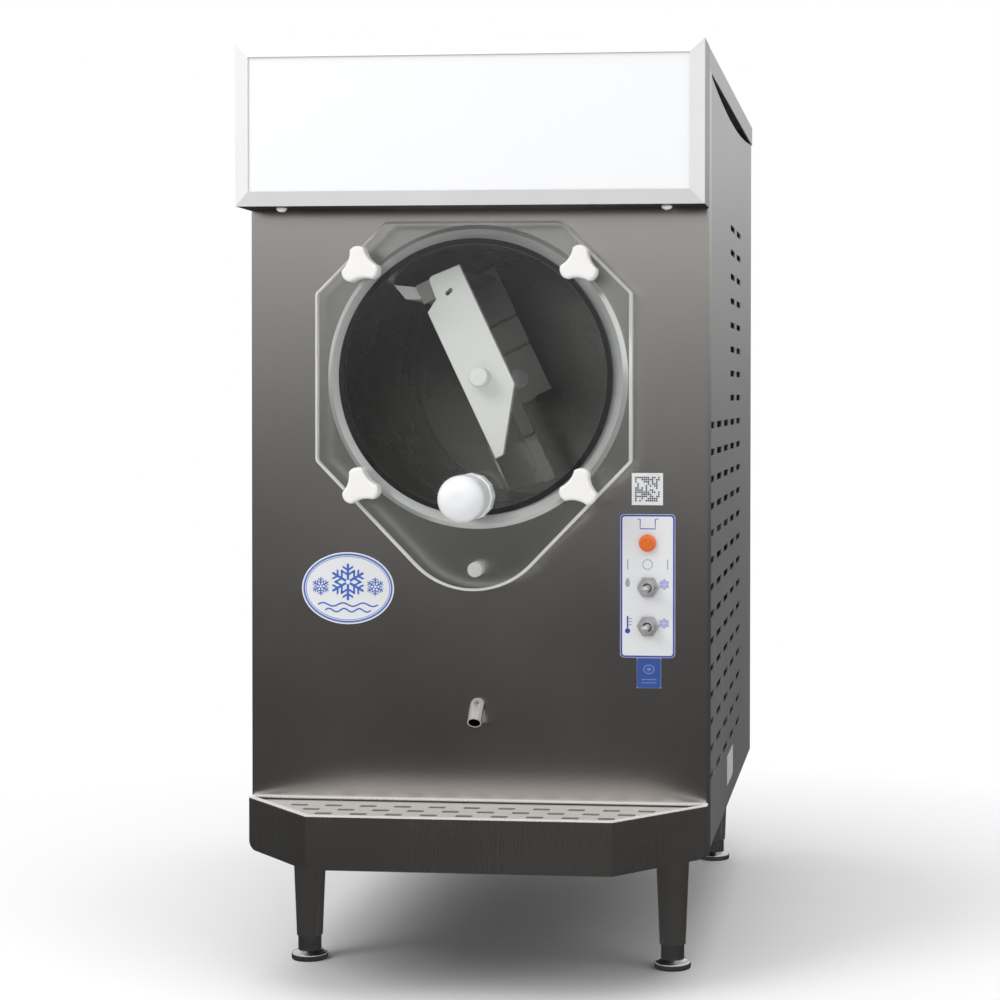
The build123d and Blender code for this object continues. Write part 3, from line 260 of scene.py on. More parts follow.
def turned_steel(name, colour, roughness, axis_z, pitch=0.0011, contrast=0.06, metal=1.0):
    """Steel turned on a lathe about the barrel's axis, with fine rings."""
    material, tree, shader = new_material(name)
    shader.inputs["Metallic"].default_value = metal
    centred = mapped(tree, (1, 1, 1), location=(0, 0, -axis_z))
    rings = tree.nodes.new("ShaderNodeTexWave")
    rings.wave_type = "RINGS"
    rings.rings_direction = "Y"
    rings.inputs["Scale"].default_value = 0.314 / pitch
    rings.inputs["Distortion"].default_value = 0.15
    rings.inputs["Detail"].default_value = 2.0
    tree.links.new(centred, rings.inputs["Vector"])
    lathe = rings.outputs["Fac"]
    clouds = noise(tree, mapped(tree, (14, 14, 14)), detail=4)
    tree.links.new(spread(tree, clouds, roughness - 0.04, roughness + 0.06), shader.inputs["Roughness"])
    tree.links.new(tint(tree, lathe, scaled(colour, 1 - contrast), scaled(colour, 1 + contrast)),
                   shader.inputs["Base Color"])
    return material


def plain_metal(name, colour, roughness, fleck=60.0, contrast=0.08, relief=0.00002, metal=1.0):
    """Rolled, plated or cast metal with a cloudy, slightly uneven face."""
    material, tree, shader = new_material(name)
    shader.inputs["Metallic"].default_value = metal
    flecks = noise(tree, mapped(tree, (fleck, fleck, fleck)), detail=5)
    tree.links.new(tint(tree, flecks, scaled(colour, 1 - contrast), scaled(colour, 1 + contrast)),
                   shader.inputs["Base Color"])
    tree.links.new(spread(tree, flecks, max(0.03, roughness - 0.05), roughness + 0.06),
                   shader.inputs["Roughness"])
    bump(tree, shader, flecks, relief, 0.3)
    return material


def galvanised_sheet(name, colour):
    """Zinc-plated sheet with its spangle."""
    material, tree, shader = new_material(name)
    shader.inputs["Metallic"].default_value = 1.0
    cells = tree.nodes.new("ShaderNodeTexVoronoi")
    cells.inputs["Scale"].default_value = 120
    tree.links.new(mapped(tree, (1, 1, 1)), cells.inputs["Vector"])
    value = tree.nodes.new("ShaderNodeSeparateColor")
    tree.links.new(cells.outputs["Color"], value.inputs["Color"])
    spangle = value.outputs[0]
    tree.links.new(tint(tree, spangle, scaled(colour, 0.82), scaled(colour, 1.1)),
                   shader.inputs["Base Color"])
    tree.links.new(spread(tree, spangle, 0.38, 0.52, 0, 1), shader.inputs["Roughness"])
    return material


def moulded_plastic(name, colour, roughness, grain=900.0, relief=0.00003, glow=0.05, coat=0.0):
    """Moulded plastic with a fine sparked texture and a little light inside."""
    material, tree, shader = new_material(name)
    shader.inputs["IOR"].default_value = 1.49
    shader.inputs["Subsurface Weight"].default_value = glow
    shader.inputs["Subsurface Radius"].default_value = (0.004, 0.004, 0.004)
    shader.inputs["Coat Weight"].default_value = coat
    shader.inputs["Coat Roughness"].default_value = 0.1
    shade = noise(tree, mapped(tree, (18, 18, 18)), detail=3)
    fine = noise(tree, mapped(tree, (grain, grain, grain)), detail=2)
    tree.links.new(tint(tree, shade, scaled(colour, 0.965), scaled(colour, 1.02)),
                   shader.inputs["Base Color"])
    tree.links.new(spread(tree, fine, roughness - 0.04, roughness + 0.05), shader.inputs["Roughness"])
    bump(tree, shader, fine, relief, 0.25)
    return material


def enamel(name, colour, roughness=0.35):
    """Sprayed enamel with slight orange peel."""
    material, tree, shader = new_material(name)
    shader.inputs["Coat Weight"].default_value = 0.4
    shader.inputs["Coat Roughness"].default_value = 0.15
    peel = noise(tree, mapped(tree, (420, 420, 420)), detail=1)
    dust = noise(tree, mapped(tree, (9, 9, 9)), detail=5)
    tree.links.new(tint(tree, dust, scaled(colour, 0.85), scaled(colour, 1.25)),
                   shader.inputs["Base Color"])
    tree.links.new(spread(tree, dust, roughness - 0.05, roughness + 0.1), shader.inputs["Roughness"])
    bump(tree, shader, peel, 0.00008, 0.3)
    return material


def foam(name):
    """Foamed-in insulation: a cellular, yellowish skin."""
    material, tree, shader = new_material(name)
    cells = tree.nodes.new("ShaderNodeTexVoronoi")
    cells.inputs["Scale"].default_value = 260
    tree.links.new(mapped(tree, (1, 1, 1)), cells.inputs["Vector"])
    depth = cells.outputs["Distance"]
    tree.links.new(tint(tree, depth, (0.52, 0.42, 0.24), (0.72, 0.63, 0.43)),
                   shader.inputs["Base Color"])
    shader.inputs["Roughness"].default_value = 0.85
    bump(tree, shader, depth, 0.0012, 0.5)
    return material


def clear_acrylic(name, haze):
    """Clear sheet: lets the light through and mirrors a little of the room."""
    material, tree, shader = new_material(name)
    tree.nodes.remove(shader)
    polish = tree.nodes.new("ShaderNodeBsdfAnisotropic")
    polish.inputs["Color"].default_value = (0.95, 0.96, 0.96, 1)
    scuffs = noise(tree, mapped(tree, (40, 40, 40)), detail=6, rough=0.7)
    tree.links.new(spread(tree, scuffs, haze, haze + 0.05), polish.inputs["Roughness"])
    see_through = tree.nodes.new("ShaderNodeBsdfTransparent")
    see_through.inputs["Color"].default_value = (0.97, 0.98, 0.975, 1)
    edge_on = tree.nodes.new("ShaderNodeLayerWeight")
    edge_on.inputs["Blend"].default_value = 0.5
    steep = tree.nodes.new("ShaderNodeMath")
    steep.operation = "POWER"
    steep.inputs[1].default_value = 5
    tree.links.new(edge_on.outputs["Facing"], steep.inputs[0])
    mirrored = spread(tree, steep.outputs[0], 0.04, 0.9, 0, 1)
    mix = tree.nodes.new("ShaderNodeMixShader")
    tree.links.new(mirrored, mix.inputs["Fac"])
    tree.links.new(see_through.outputs["BSDF"], mix.inputs[1])
    tree.links.new(polish.outputs["BSDF"], mix.inputs[2])
    tree.links.new(mix.outputs["Shader"], tree.nodes["Material Output"].inputs["Surface"])
    return material


def acrylic_edge(name):
    """The sawn edge of a clear sheet, buffed to a polish, with a painted highlight: a whitish colour that
    stands in for the light the edge gathers.
    """
    material, tree, shader = new_material(name)
    shader.inputs["IOR"].default_value = 1.49
    shader.inputs["Transmission Weight"].default_value = 0.35
    saw_marks = noise(tree, mapped(tree, (30, 900, 30)), detail=3)
    # Painted highlight: the whitish edge colour stands in for gathered light; the saw marks vary it at
    # random.
    tree.links.new(tint(tree, saw_marks, (0.80, 0.81, 0.80), (0.95, 0.96, 0.95)),
                   shader.inputs["Base Color"])
    tree.links.new(spread(tree, saw_marks, 0.1, 0.22), shader.inputs["Roughness"])
    bump(tree, shader, saw_marks, 0.00003, 0.3)
    return material


def lit_sheet(name, colour, light):
    """White translucent sheet with a soft sheen and a faint glow of its own."""
    material, tree, shader = new_material(name)
    shader.inputs["Emission Color"].default_value = (1, 1, 1, 1)
    shader.inputs["Emission Strength"].default_value = light
    shader.inputs["Coat Weight"].default_value = 0.25
    shader.inputs["Coat Roughness"].default_value = 0.2
    shade = noise(tree, mapped(tree, (3, 3, 3)), detail=2)
    ripple = noise(tree, mapped(tree, (25, 25, 25)), detail=2)
    tree.links.new(tint(tree, shade, scaled(colour, 0.98), colour), shader.inputs["Base Color"])
    tree.links.new(spread(tree, shade, 0.32, 0.42), shader.inputs["Roughness"])
    bump(tree, shader, ripple, 0.0001, 0.15)
    return material


def lens(name, colour):
    """Moulded lamp lens with faint inner prisms."""
    material, tree, shader = new_material(name)
    shader.inputs["IOR"].default_value = 1.49
    shader.inputs["Transmission Weight"].default_value = 0.15
    shader.inputs["Coat Weight"].default_value = 0.6
    shader.inputs["Coat Roughness"].default_value = 0.05
    shader.inputs["Emission Color"].default_value = (*colour, 1)
    shader.inputs["Emission Strength"].default_value = 0.12
    prisms = noise(tree, mapped(tree, (700, 20, 700)), detail=1)
    tree.links.new(tint(tree, prisms, scaled(colour, 0.75), scaled(colour, 1.15)),
                   shader.inputs["Base Color"])
    tree.links.new(spread(tree, prisms, 0.15, 0.3), shader.inputs["Roughness"])
    return material


def rubber(name):
    """Black moulded rubber."""
    material, tree, shader = new_material(name)
    bloom = noise(tree, mapped(tree, (60, 60, 60)), detail=4)
    fine = noise(tree, mapped(tree, (1500, 1500, 1500)), detail=2)
    tree.links.new(tint(tree, bloom, (0.006, 0.006, 0.006), (0.022, 0.021, 0.02)),
                   shader.inputs["Base Color"])
    tree.links.new(spread(tree, bloom, 0.5, 0.65), shader.inputs["Roughness"])
    bump(tree, shader, fine, 0.00005, 0.3)
    return material


def printed_film(name, colour, roughness=0.4):
    """Screen-printed ink with slightly uneven cover."""
    material, tree, shader = new_material(name)
    ink = noise(tree, mapped(tree, (350, 350, 350)), detail=3)
    tree.links.new(tint(tree, ink, scaled(colour, 0.9), scaled(colour, 1.12)),
                   shader.inputs["Base Color"])
    tree.links.new(spread(tree, ink, roughness - 0.05, roughness + 0.05), shader.inputs["Roughness"])
    return material


# ---------------------------------------------------------------- mesh helpers
def new_piece(name, mesh):
    """A linked object that holds mesh, at the origin."""
    piece = bpy.data.objects.new(name, mesh)
    bpy.context.scene.collection.objects.link(piece)
    return piece


def close_mesh(name, build):
    """A mesh whose faces point outwards, made from build."""
    bmesh.ops.recalc_face_normals(build, faces=build.faces)
    mesh = bpy.data.meshes.new(name)
    build.to_mesh(mesh)
    build.free()
    return mesh


def paint(piece, material):
    piece.data.materials.clear()
    piece.data.materials.append(material)


def settle(piece, body):
    """Puts a finished piece on its body."""
    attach(piece, body)
    return piece


def front_row(build, points, y):
    return [build.verts.new((x, y, z)) for x, z in points]


def add_patch(build, points, back_y, film):
    """A thin flat patch with the outline points (x, z), facing the front."""
    front = front_row(build, points, back_y - film)
    back = front_row(build, points, back_y)
    build.faces.new(front)
    build.faces.new(list(reversed(back)))
    count = len(points)
    for i in range(count):
        j = (i + 1) % count
        build.faces.new((front[i], front[j], back[j], back[i]))


def add_band(build, outer, inner, back_y, film, closed=True):
    """A thin flat band between two rows of points (x, z), facing the front."""
    rows = [front_row(build, row, y) for row in (outer, inner) for y in (back_y - film, back_y)]
    outer_front, outer_back, inner_front, inner_back = rows
    count = len(outer)
    for i in range(count if closed else count - 1):
        j = (i + 1) % count
        build.faces.new((outer_front[i], outer_front[j], inner_front[j], inner_front[i]))
        build.faces.new((outer_back[j], outer_back[i], inner_back[i], inner_back[j]))
        build.faces.new((outer_front[j], outer_front[i], outer_back[i], outer_back[j]))
        build.faces.new((inner_front[i], inner_front[j], inner_back[j], inner_back[i]))
    if not closed:
        for i in (0, count - 1):
            build.faces.new((outer_front[i], inner_front[i], inner_back[i], outer_back[i]))


def ellipse(centre, radius_x, radius_z, steps=72):
    return [(centre[0] + radius_x * cos(2 * pi * i / steps), centre[1] + radius_z * sin(2 * pi * i / steps))
            for i in range(steps)]


def round_rectangle(centre, width, height, radius, steps=6):
    points = []
    for quarter, (side_x, side_z) in enumerate(((1, 1), (-1, 1), (-1, -1), (1, -1))):
        corner_x = centre[0] + side_x * (width / 2 - radius)
        corner_z = centre[1] + side_z * (height / 2 - radius)
        for i in range(steps + 1):
            angle = pi / 2 * (quarter + i / steps)
            points.append((corner_x + radius * cos(angle), corner_z + radius * sin(angle)))
    return points


def stroke_sides(points, width):
    """The two sides of a line of the given width along open points (x, z)."""
    left, right = [], []
    for i, (x, z) in enumerate(points):
        before = points[max(i - 1, 0)]
        after = points[min(i + 1, len(points) - 1)]
        along = Vector((after[0] - before[0], after[1] - before[1])).normalized()
        left.append((x - along.y * width / 2, z + along.x * width / 2))
        right.append((x + along.y * width / 2, z - along.x * width / 2))
    return left, right


def add_stroke(build, points, width, back_y, film):
    left, right = stroke_sides(points, width)
    add_band(build, left, right, back_y, film, closed=False)


def crystal_arm(radius):
    """Outline of one arm of a snow crystal along +z, with two pairs of branches."""
    half = radius * 0.065
    thick = radius * 0.12
    side = [(half, radius * 0.12)]
    for reach, start in ((0.30, 0.36), (0.22, 0.62)):
        foot = radius * start
        tip = radius * reach
        side += [(half, foot), (half + tip, foot + tip * 0.62),
                 (half + tip, foot + tip * 0.62 + thick), (half, foot + thick)]
    side += [(half, radius * 0.95), (0, radius)]
    mirrored = [(-x, z) for x, z in reversed(side[:-1])]
    return side + mirrored


# ----------------------------------------------------- geometry nodes: repeats
def repeat_tree():
    """A tree that puts one piece on every point, turned step by step, and keeps a share of them."""
    tree = bpy.data.node_groups.new("Repeated piece", "GeometryNodeTree")
    add = tree.interface.new_socket
    add("Geometry", in_out="OUTPUT", socket_type="NodeSocketGeometry")
    add("Points", in_out="INPUT", socket_type="NodeSocketGeometry")
    add("Piece", in_out="INPUT", socket_type="NodeSocketObject")
    add("Turn", in_out="INPUT", socket_type="NodeSocketVector")
    add("Turn step", in_out="INPUT", socket_type="NodeSocketVector")
    add("Kept share", in_out="INPUT", socket_type="NodeSocketFloat").default_value = 1.0
    add("Seed", in_out="INPUT", socket_type="NodeSocketInt").default_value = 7
    add("Finish", in_out="INPUT", socket_type="NodeSocketMaterial")
    nodes, links = tree.nodes, tree.links
    given = nodes.new("NodeGroupInput")
    result = nodes.new("NodeGroupOutput")
    source = nodes.new("GeometryNodeObjectInfo")
    links.new(given.outputs["Piece"], source.inputs["Object"])
    index = nodes.new("GeometryNodeInputIndex")
    turned = nodes.new("ShaderNodeVectorMath")
    turned.operation = "SCALE"
    links.new(given.outputs["Turn step"], turned.inputs[0])
    links.new(index.outputs["Index"], turned.inputs["Scale"])
    total = nodes.new("ShaderNodeVectorMath")
    total.operation = "ADD"
    links.new(given.outputs["Turn"], total.inputs[0])
    links.new(turned.outputs["Vector"], total.inputs[1])
    kept = nodes.new("FunctionNodeRandomValue")
    kept.data_type = "BOOLEAN"
    links.new(given.outputs["Kept share"], kept.inputs["Probability"])
    links.new(given.outputs["Seed"], kept.inputs["Seed"])
    placed = nodes.new("GeometryNodeInstanceOnPoints")
    links.new(given.outputs["Points"], placed.inputs["Points"])
    links.new(kept.outputs[3], placed.inputs["Selection"])
    links.new(source.outputs["Geometry"], placed.inputs["Instance"])
    links.new(total.outputs["Vector"], placed.inputs["Rotation"])
    real = nodes.new("GeometryNodeRealizeInstances")
    links.new(placed.outputs["Instances"], real.inputs["Geometry"])
    finished = nodes.new("GeometryNodeSetMaterial")
    links.new(real.outputs["Geometry"], finished.inputs["Geometry"])
    links.new(given.outputs["Finish"], finished.inputs["Material"])
    links.new(finished.outputs["Geometry"], result.inputs["Geometry"])
    return tree


def repeated(name, unit_mesh, points, finish, turn=(0, 0, 0), turn_step=(0, 0, 0), kept=1.0, seed=7):
    """A piece made of unit_mesh on every point, by the repeat tree, as one plain mesh."""
    tree = bpy.data.node_groups.get("Repeated piece") or repeat_tree()
    unit = new_piece(name + "_unit", unit_mesh)
    cloud = bpy.data.meshes.new(name + "_points")
    cloud.from_pydata([tuple(point) for point in points], [], [])
    piece = new_piece(name, cloud)
    modifier = piece.modifiers.new("Repeat", "NODES")
    modifier.node_group = tree
    values = {"Piece": unit, "Turn": turn, "Turn step": turn_step, "Kept share": kept, "Seed": seed,
              "Finish": finish}
    for item in tree.interface.items_tree:
        if item.in_out == "INPUT" and item.name in values:
            modifier[item.identifier] = values[item.name]
    piece.update_tag()
    bpy.context.view_layer.update()
    graph = bpy.context.evaluated_depsgraph_get()
    mesh = bpy.data.meshes.new_from_object(piece.evaluated_get(graph))
    piece.modifiers.clear()
    piece.data = mesh
    bpy.data.objects.remove(unit)
    if not mesh.polygons:
        raise RuntimeError(f"{name} came out empty")
    return piece


def joined(name, pieces):
    """One object made of several, which are removed."""
    build = bmesh.new()
    materials = []
    for piece in pieces:
        start = len(build.faces)
        build.from_mesh(piece.data)
        build.faces.ensure_lookup_table()
        shift = len(materials)
        for face in build.faces[start:]:
            face.material_index += shift
        materials += list(piece.data.materials)
    mesh = bpy.data.meshes.new(name)
    build.to_mesh(mesh)
    build.free()
    for material in materials:
        mesh.materials.append(material)
    for piece in pieces:
        bpy.data.objects.remove(piece)
    return new_piece(name, mesh)


# ------------------------------------------------------------------- operators
class MAKER_OT_finishes(bpy.types.Operator):
    """Gives every CAD part that stays visible its material"""

    bl_idname = "maker.finishes"
    bl_label = "Part finishes"

    def execute(self, context):
        look = context.scene.maker_finish
        sheet = tuple(look.sheet_colour)
        side = tuple(look.side_colour)
        barrel = tuple(look.barrel_colour)
        plastic = tuple(look.plastic_colour)
        rough = look.sheet_roughness
        low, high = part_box("barrel_ring")
        axis_z = (low.z + high.z) / 2
        tray_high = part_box("drip_pan")[1]
        steel_white = moulded_plastic("knob_plastic", scaled(plastic, 1.04), 0.38)
        copper = plain_metal("copper_tube", (0.62, 0.32, 0.20), 0.3)
        zinc = galvanised_sheet("zinc_sheet", (0.52, 0.53, 0.55))
        nickel = plain_metal("nickel", (0.62, 0.62, 0.63), 0.3, metal=0.55)
        grey_enamel = enamel("grey_enamel", (0.18, 0.20, 0.21))
        black_enamel = enamel("black_enamel", (0.012, 0.012, 0.013))
        aluminium = plain_metal("pressed_aluminium", (0.72, 0.73, 0.74), 0.35)
        black_rubber = rubber("black_rubber")
        legs = brushed_sheet("leg_steel", scaled(sheet, 1.2), 0.3, grain=(900, 900, 4), cloud=12)
        side_sheet = brushed_sheet("side_sheet", side, rough + 0.04, grain=(8, 1500, 8), cloud=4,
                                   contrast=0.05, metal=0.6)
        dressing = {
            brushed_sheet("front_sheet", sheet, rough): ["front_panel"],
            # the tray's rim edge carries a painted highlight
            brushed_sheet("tray_sheet", scaled(sheet, 1.05), rough + 0.02, rim_z=tray_high.z - 0.0012):
                ["drip_pan"],
            brushed_sheet("grid_sheet", scaled(sheet, 1.25), 0.34, grain=(5, 1400, 1400), metal=0.6):
                ["drip_grid"],
            side_sheet: ["left_side_panel", "right_side_panel", "rear_panel", "top_cover"],
            brushed_sheet("box_sheet", scaled(side, 0.9), 0.32, grain=(5, 5, 1400)): ["lightbox_housing"],
            brushed_sheet("lid_sheet", sheet, 0.26, grain=(5, 1400, 1400)): ["fill_lid"],
            plain_metal("satin_moulding", (0.84, 0.84, 0.845), 0.36, fleck=30, contrast=0.04, metal=0.15):
                ["lightbox_bezel"],
            lit_sheet("white_diffuser", (0.88, 0.885, 0.9), 0.02): ["lightbox_diffuser"],
            lit_sheet("lamp_tube", (0.9, 0.9, 0.88), 0.05): ["lightbox_lamp"],
            turned_steel("ring_steel", (0.86, 0.855, 0.85), 0.17, axis_z, metal=0.5): ["barrel_ring"],
            turned_steel("barrel_steel", barrel, 0.27, axis_z): ["freezing_barrel"],
            turned_steel("turned_shaft", (0.6, 0.59, 0.58), 0.25, axis_z): ["drive_shaft"],
            brushed_sheet("arm_steel", (0.44, 0.43, 0.41), 0.3, grain=(1100, 6, 1100), cloud=20,
                          contrast=0.16): ["beater_frame"],
            plain_metal("blade_steel", (0.66, 0.66, 0.65), 0.22): ["lower_scraper"],
            moulded_plastic("scraper_plastic", scaled(plastic, 0.98), 0.42): ["upper_scraper"],
            moulded_plastic("bar_plastic", scaled(plastic, 1.14), 0.4): ["beater_bar", "beater_pin"],
            steel_white: ["upper_left_knob", "upper_right_knob", "lower_left_knob", "lower_right_knob",
                          "nose_bumper"],
            moulded_plastic("valve_plastic", (0.85, 0.86, 0.88), 0.3, coat=0.2):
                ["valve_body", "valve_plunger"],
            black_rubber: ["door_gasket", "compressor_mounts"],
            plain_metal("stud_steel", (0.55, 0.55, 0.55), 0.25): ["door_studs"],
            plain_metal("drain_steel", (0.7, 0.69, 0.68), 0.13, relief=0.00001): ["drain_tube"],
            nickel: ["toggle_switches", "upper_switch_lever", "lower_switch_lever"],
            lens("amber_lens", (0.80, 0.17, 0.03)): ["pilot_lamp"],
            moulded_plastic("label_film", (0.80, 0.81, 0.83), 0.36, coat=0.3): ["control_plate", "labels"],
            legs: ["legs"],
            plain_metal("foot_steel", (0.55, 0.55, 0.54), 0.2): [
                "foot_front_left", "foot_front_right", "foot_rear_left", "foot_rear_right"],
            turned_steel("chute_steel", (0.55, 0.54, 0.53), 0.3, axis_z): ["fill_chute"],
            foam("yellow_foam"): ["barrel_insulation"],
            copper: ["evaporator_coil", "refrigerant_lines"],
            zinc: ["base_pan", "frame", "fan_shroud", "control_box"],
            grey_enamel: ["gearbox", "drive_motor"],
            black_enamel: ["compressor", "fan_motor"],
            aluminium: ["fan_blade"],
            moulded_plastic("black_nylon", (0.02, 0.02, 0.02), 0.45): ["cord_gland"],
        }
        for material, names in dressing.items():
            for name in names:
                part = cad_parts[name]
                for slot in part.material_slots:
                    slot.material = material
                if not part.material_slots:
                    part.data.materials.append(material)
        return {"FINISHED"}


class MAKER_OT_front_plate(bpy.types.Operator):
    """Makes the clear front plate, with a whitish painted highlight on its edges"""

    bl_idname = "maker.front_plate"
    bl_label = "Front plate"

    def execute(self, context):
        build = bmesh.new()
        build.from_mesh(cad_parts["front_plate"].data)
        bmesh.ops.remove_doubles(build, verts=build.verts, dist=0.00001)
        for face in build.faces:
            flat = abs(face.normal.y) > 0.95
            face.material_index = 0 if flat else 1
            face.smooth = False
        mesh = bpy.data.meshes.new("clear_front_plate")
        build.to_mesh(mesh)
        build.free()
        plate = new_piece("clear_front_plate", mesh)
        mesh.materials.append(clear_acrylic("clear_acrylic", 0.06))
        mesh.materials.append(acrylic_edge("acrylic_edge"))
        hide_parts("front_plate")
        settle(plate, "door")
        return {"FINISHED"}


class MAKER_OT_control_print(bpy.types.Operator):
    """Prints the border and the signs on the control plate"""

    bl_idname = "maker.control_print"
    bl_label = "Control plate print"

    def execute(self, context):
        prints = context.scene.maker_print
        film = prints.film
        line = 0.9 * MM
        low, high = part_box("control_plate")
        face_y = low.y
        width = high.x - low.x
        height = high.z - low.z
        centre = ((low.x + high.x) / 2, (low.z + high.z) / 2)
        blue = printed_film("blue_print", tuple(context.scene.maker_finish.print_colour))
        grey = printed_film("grey_print", (0.36, 0.36, 0.42))
        violet = printed_film("violet_print", (0.26, 0.28, 0.68))

        border = bmesh.new()
        inset = 2 * prints.border
        add_band(border, round_rectangle(centre, width - 0.0006, height - 0.0006, 3.3 * MM),
                 round_rectangle(centre, width - inset, height - inset, 2.4 * MM), face_y, film)
        cup_top = centre[1] + 58.5 * MM
        cup_half = 6.6 * MM
        cup_deep = 8.6 * MM
        flange = 2.4 * MM
        cup = [(centre[0] - cup_half - flange, cup_top), (centre[0] - cup_half, cup_top - 0.3 * MM),
               (centre[0] - cup_half, cup_top - cup_deep), (centre[0] + cup_half, cup_top - cup_deep),
               (centre[0] + cup_half, cup_top - 0.3 * MM), (centre[0] + cup_half + flange, cup_top)]
        add_stroke(border, cup, line, face_y, film)
        paint_on = new_piece("plate_border_print", close_mesh("plate_border_print", border))
        paint(paint_on, blue)
        settle(paint_on, "cabinet")

        signs = bmesh.new()
        off_z = centre[1] + 18.8 * MM
        off_centre = (centre[0], off_z)
        off_outer, off_inner = 4.6 * MM, 3.9 * MM
        add_band(signs, ellipse(off_centre, off_outer, off_outer, 32),
                 ellipse(off_centre, off_inner, off_inner, 32), face_y, film)
        switch_zs = [(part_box(name)[0].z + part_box(name)[1].z) / 2
                     for name in ("upper_switch_lever", "lower_switch_lever")]
        mark_x = centre[0] - 17.5 * MM
        for x in (mark_x, centre[0] + 17.5 * MM):
            add_stroke(signs, [(x, off_z - 4.5 * MM), (x, off_z + 4.5 * MM)], line, face_y, film)
        drop_z = switch_zs[0] + 4 * MM
        drop = [(mark_x + 2.6 * MM * sin(pi * i / 10) * (1 - 0.45 * i / 10),
                 drop_z - 4 * MM * cos(pi * i / 10)) for i in range(11)]
        drop += [(mark_x - 2.6 * MM * sin(pi * i / 10) * (1 - 0.45 * i / 10),
                  drop_z - 4 * MM * cos(pi * i / 10)) for i in range(9, 0, -1)]
        add_patch(signs, drop, face_y, film)
        sign_piece = new_piece("plate_sign_print", close_mesh("plate_sign_print", signs))
        paint(sign_piece, grey)
        settle(sign_piece, "cabinet")

        gauge = bmesh.new()
        bulb = (mark_x, switch_zs[1] - 4.2 * MM)
        add_patch(gauge, ellipse(bulb, 2.3 * MM, 2.3 * MM, 24), face_y, film)
        add_stroke(gauge, [(mark_x, bulb[1] + 2.6 * MM), (mark_x, bulb[1] + 13 * MM)], 1.4 * MM, face_y, film)
        for notch in range(3):
            notch_z = bulb[1] + (5.5 + 2.6 * notch) * MM
            add_stroke(gauge, [(mark_x + 1.2 * MM, notch_z), (mark_x + 3.4 * MM, notch_z)], 0.6 * MM,
                       face_y, film)
        gauge_piece = new_piece("plate_gauge_print", close_mesh("plate_gauge_print", gauge))
        paint(gauge_piece, blue)
        settle(gauge_piece, "cabinet")

        crystals = []
        for number, switch_z in enumerate(switch_zs):
            arm = bmesh.new()
            add_patch(arm, crystal_arm(prints.crystal), 0.0, film)
            unit = close_mesh("crystal_arm", arm)
            spot = Vector((centre[0] + 14.5 * MM, face_y, switch_z + 2.5 * MM))
            crystals.append(repeated(f"crystal_{number}", unit, [spot] * 6, violet,
                                     turn_step=(0, radians(60), 0)))
        settle(joined("plate_crystal_print", crystals), "cabinet")
        return {"FINISHED"}


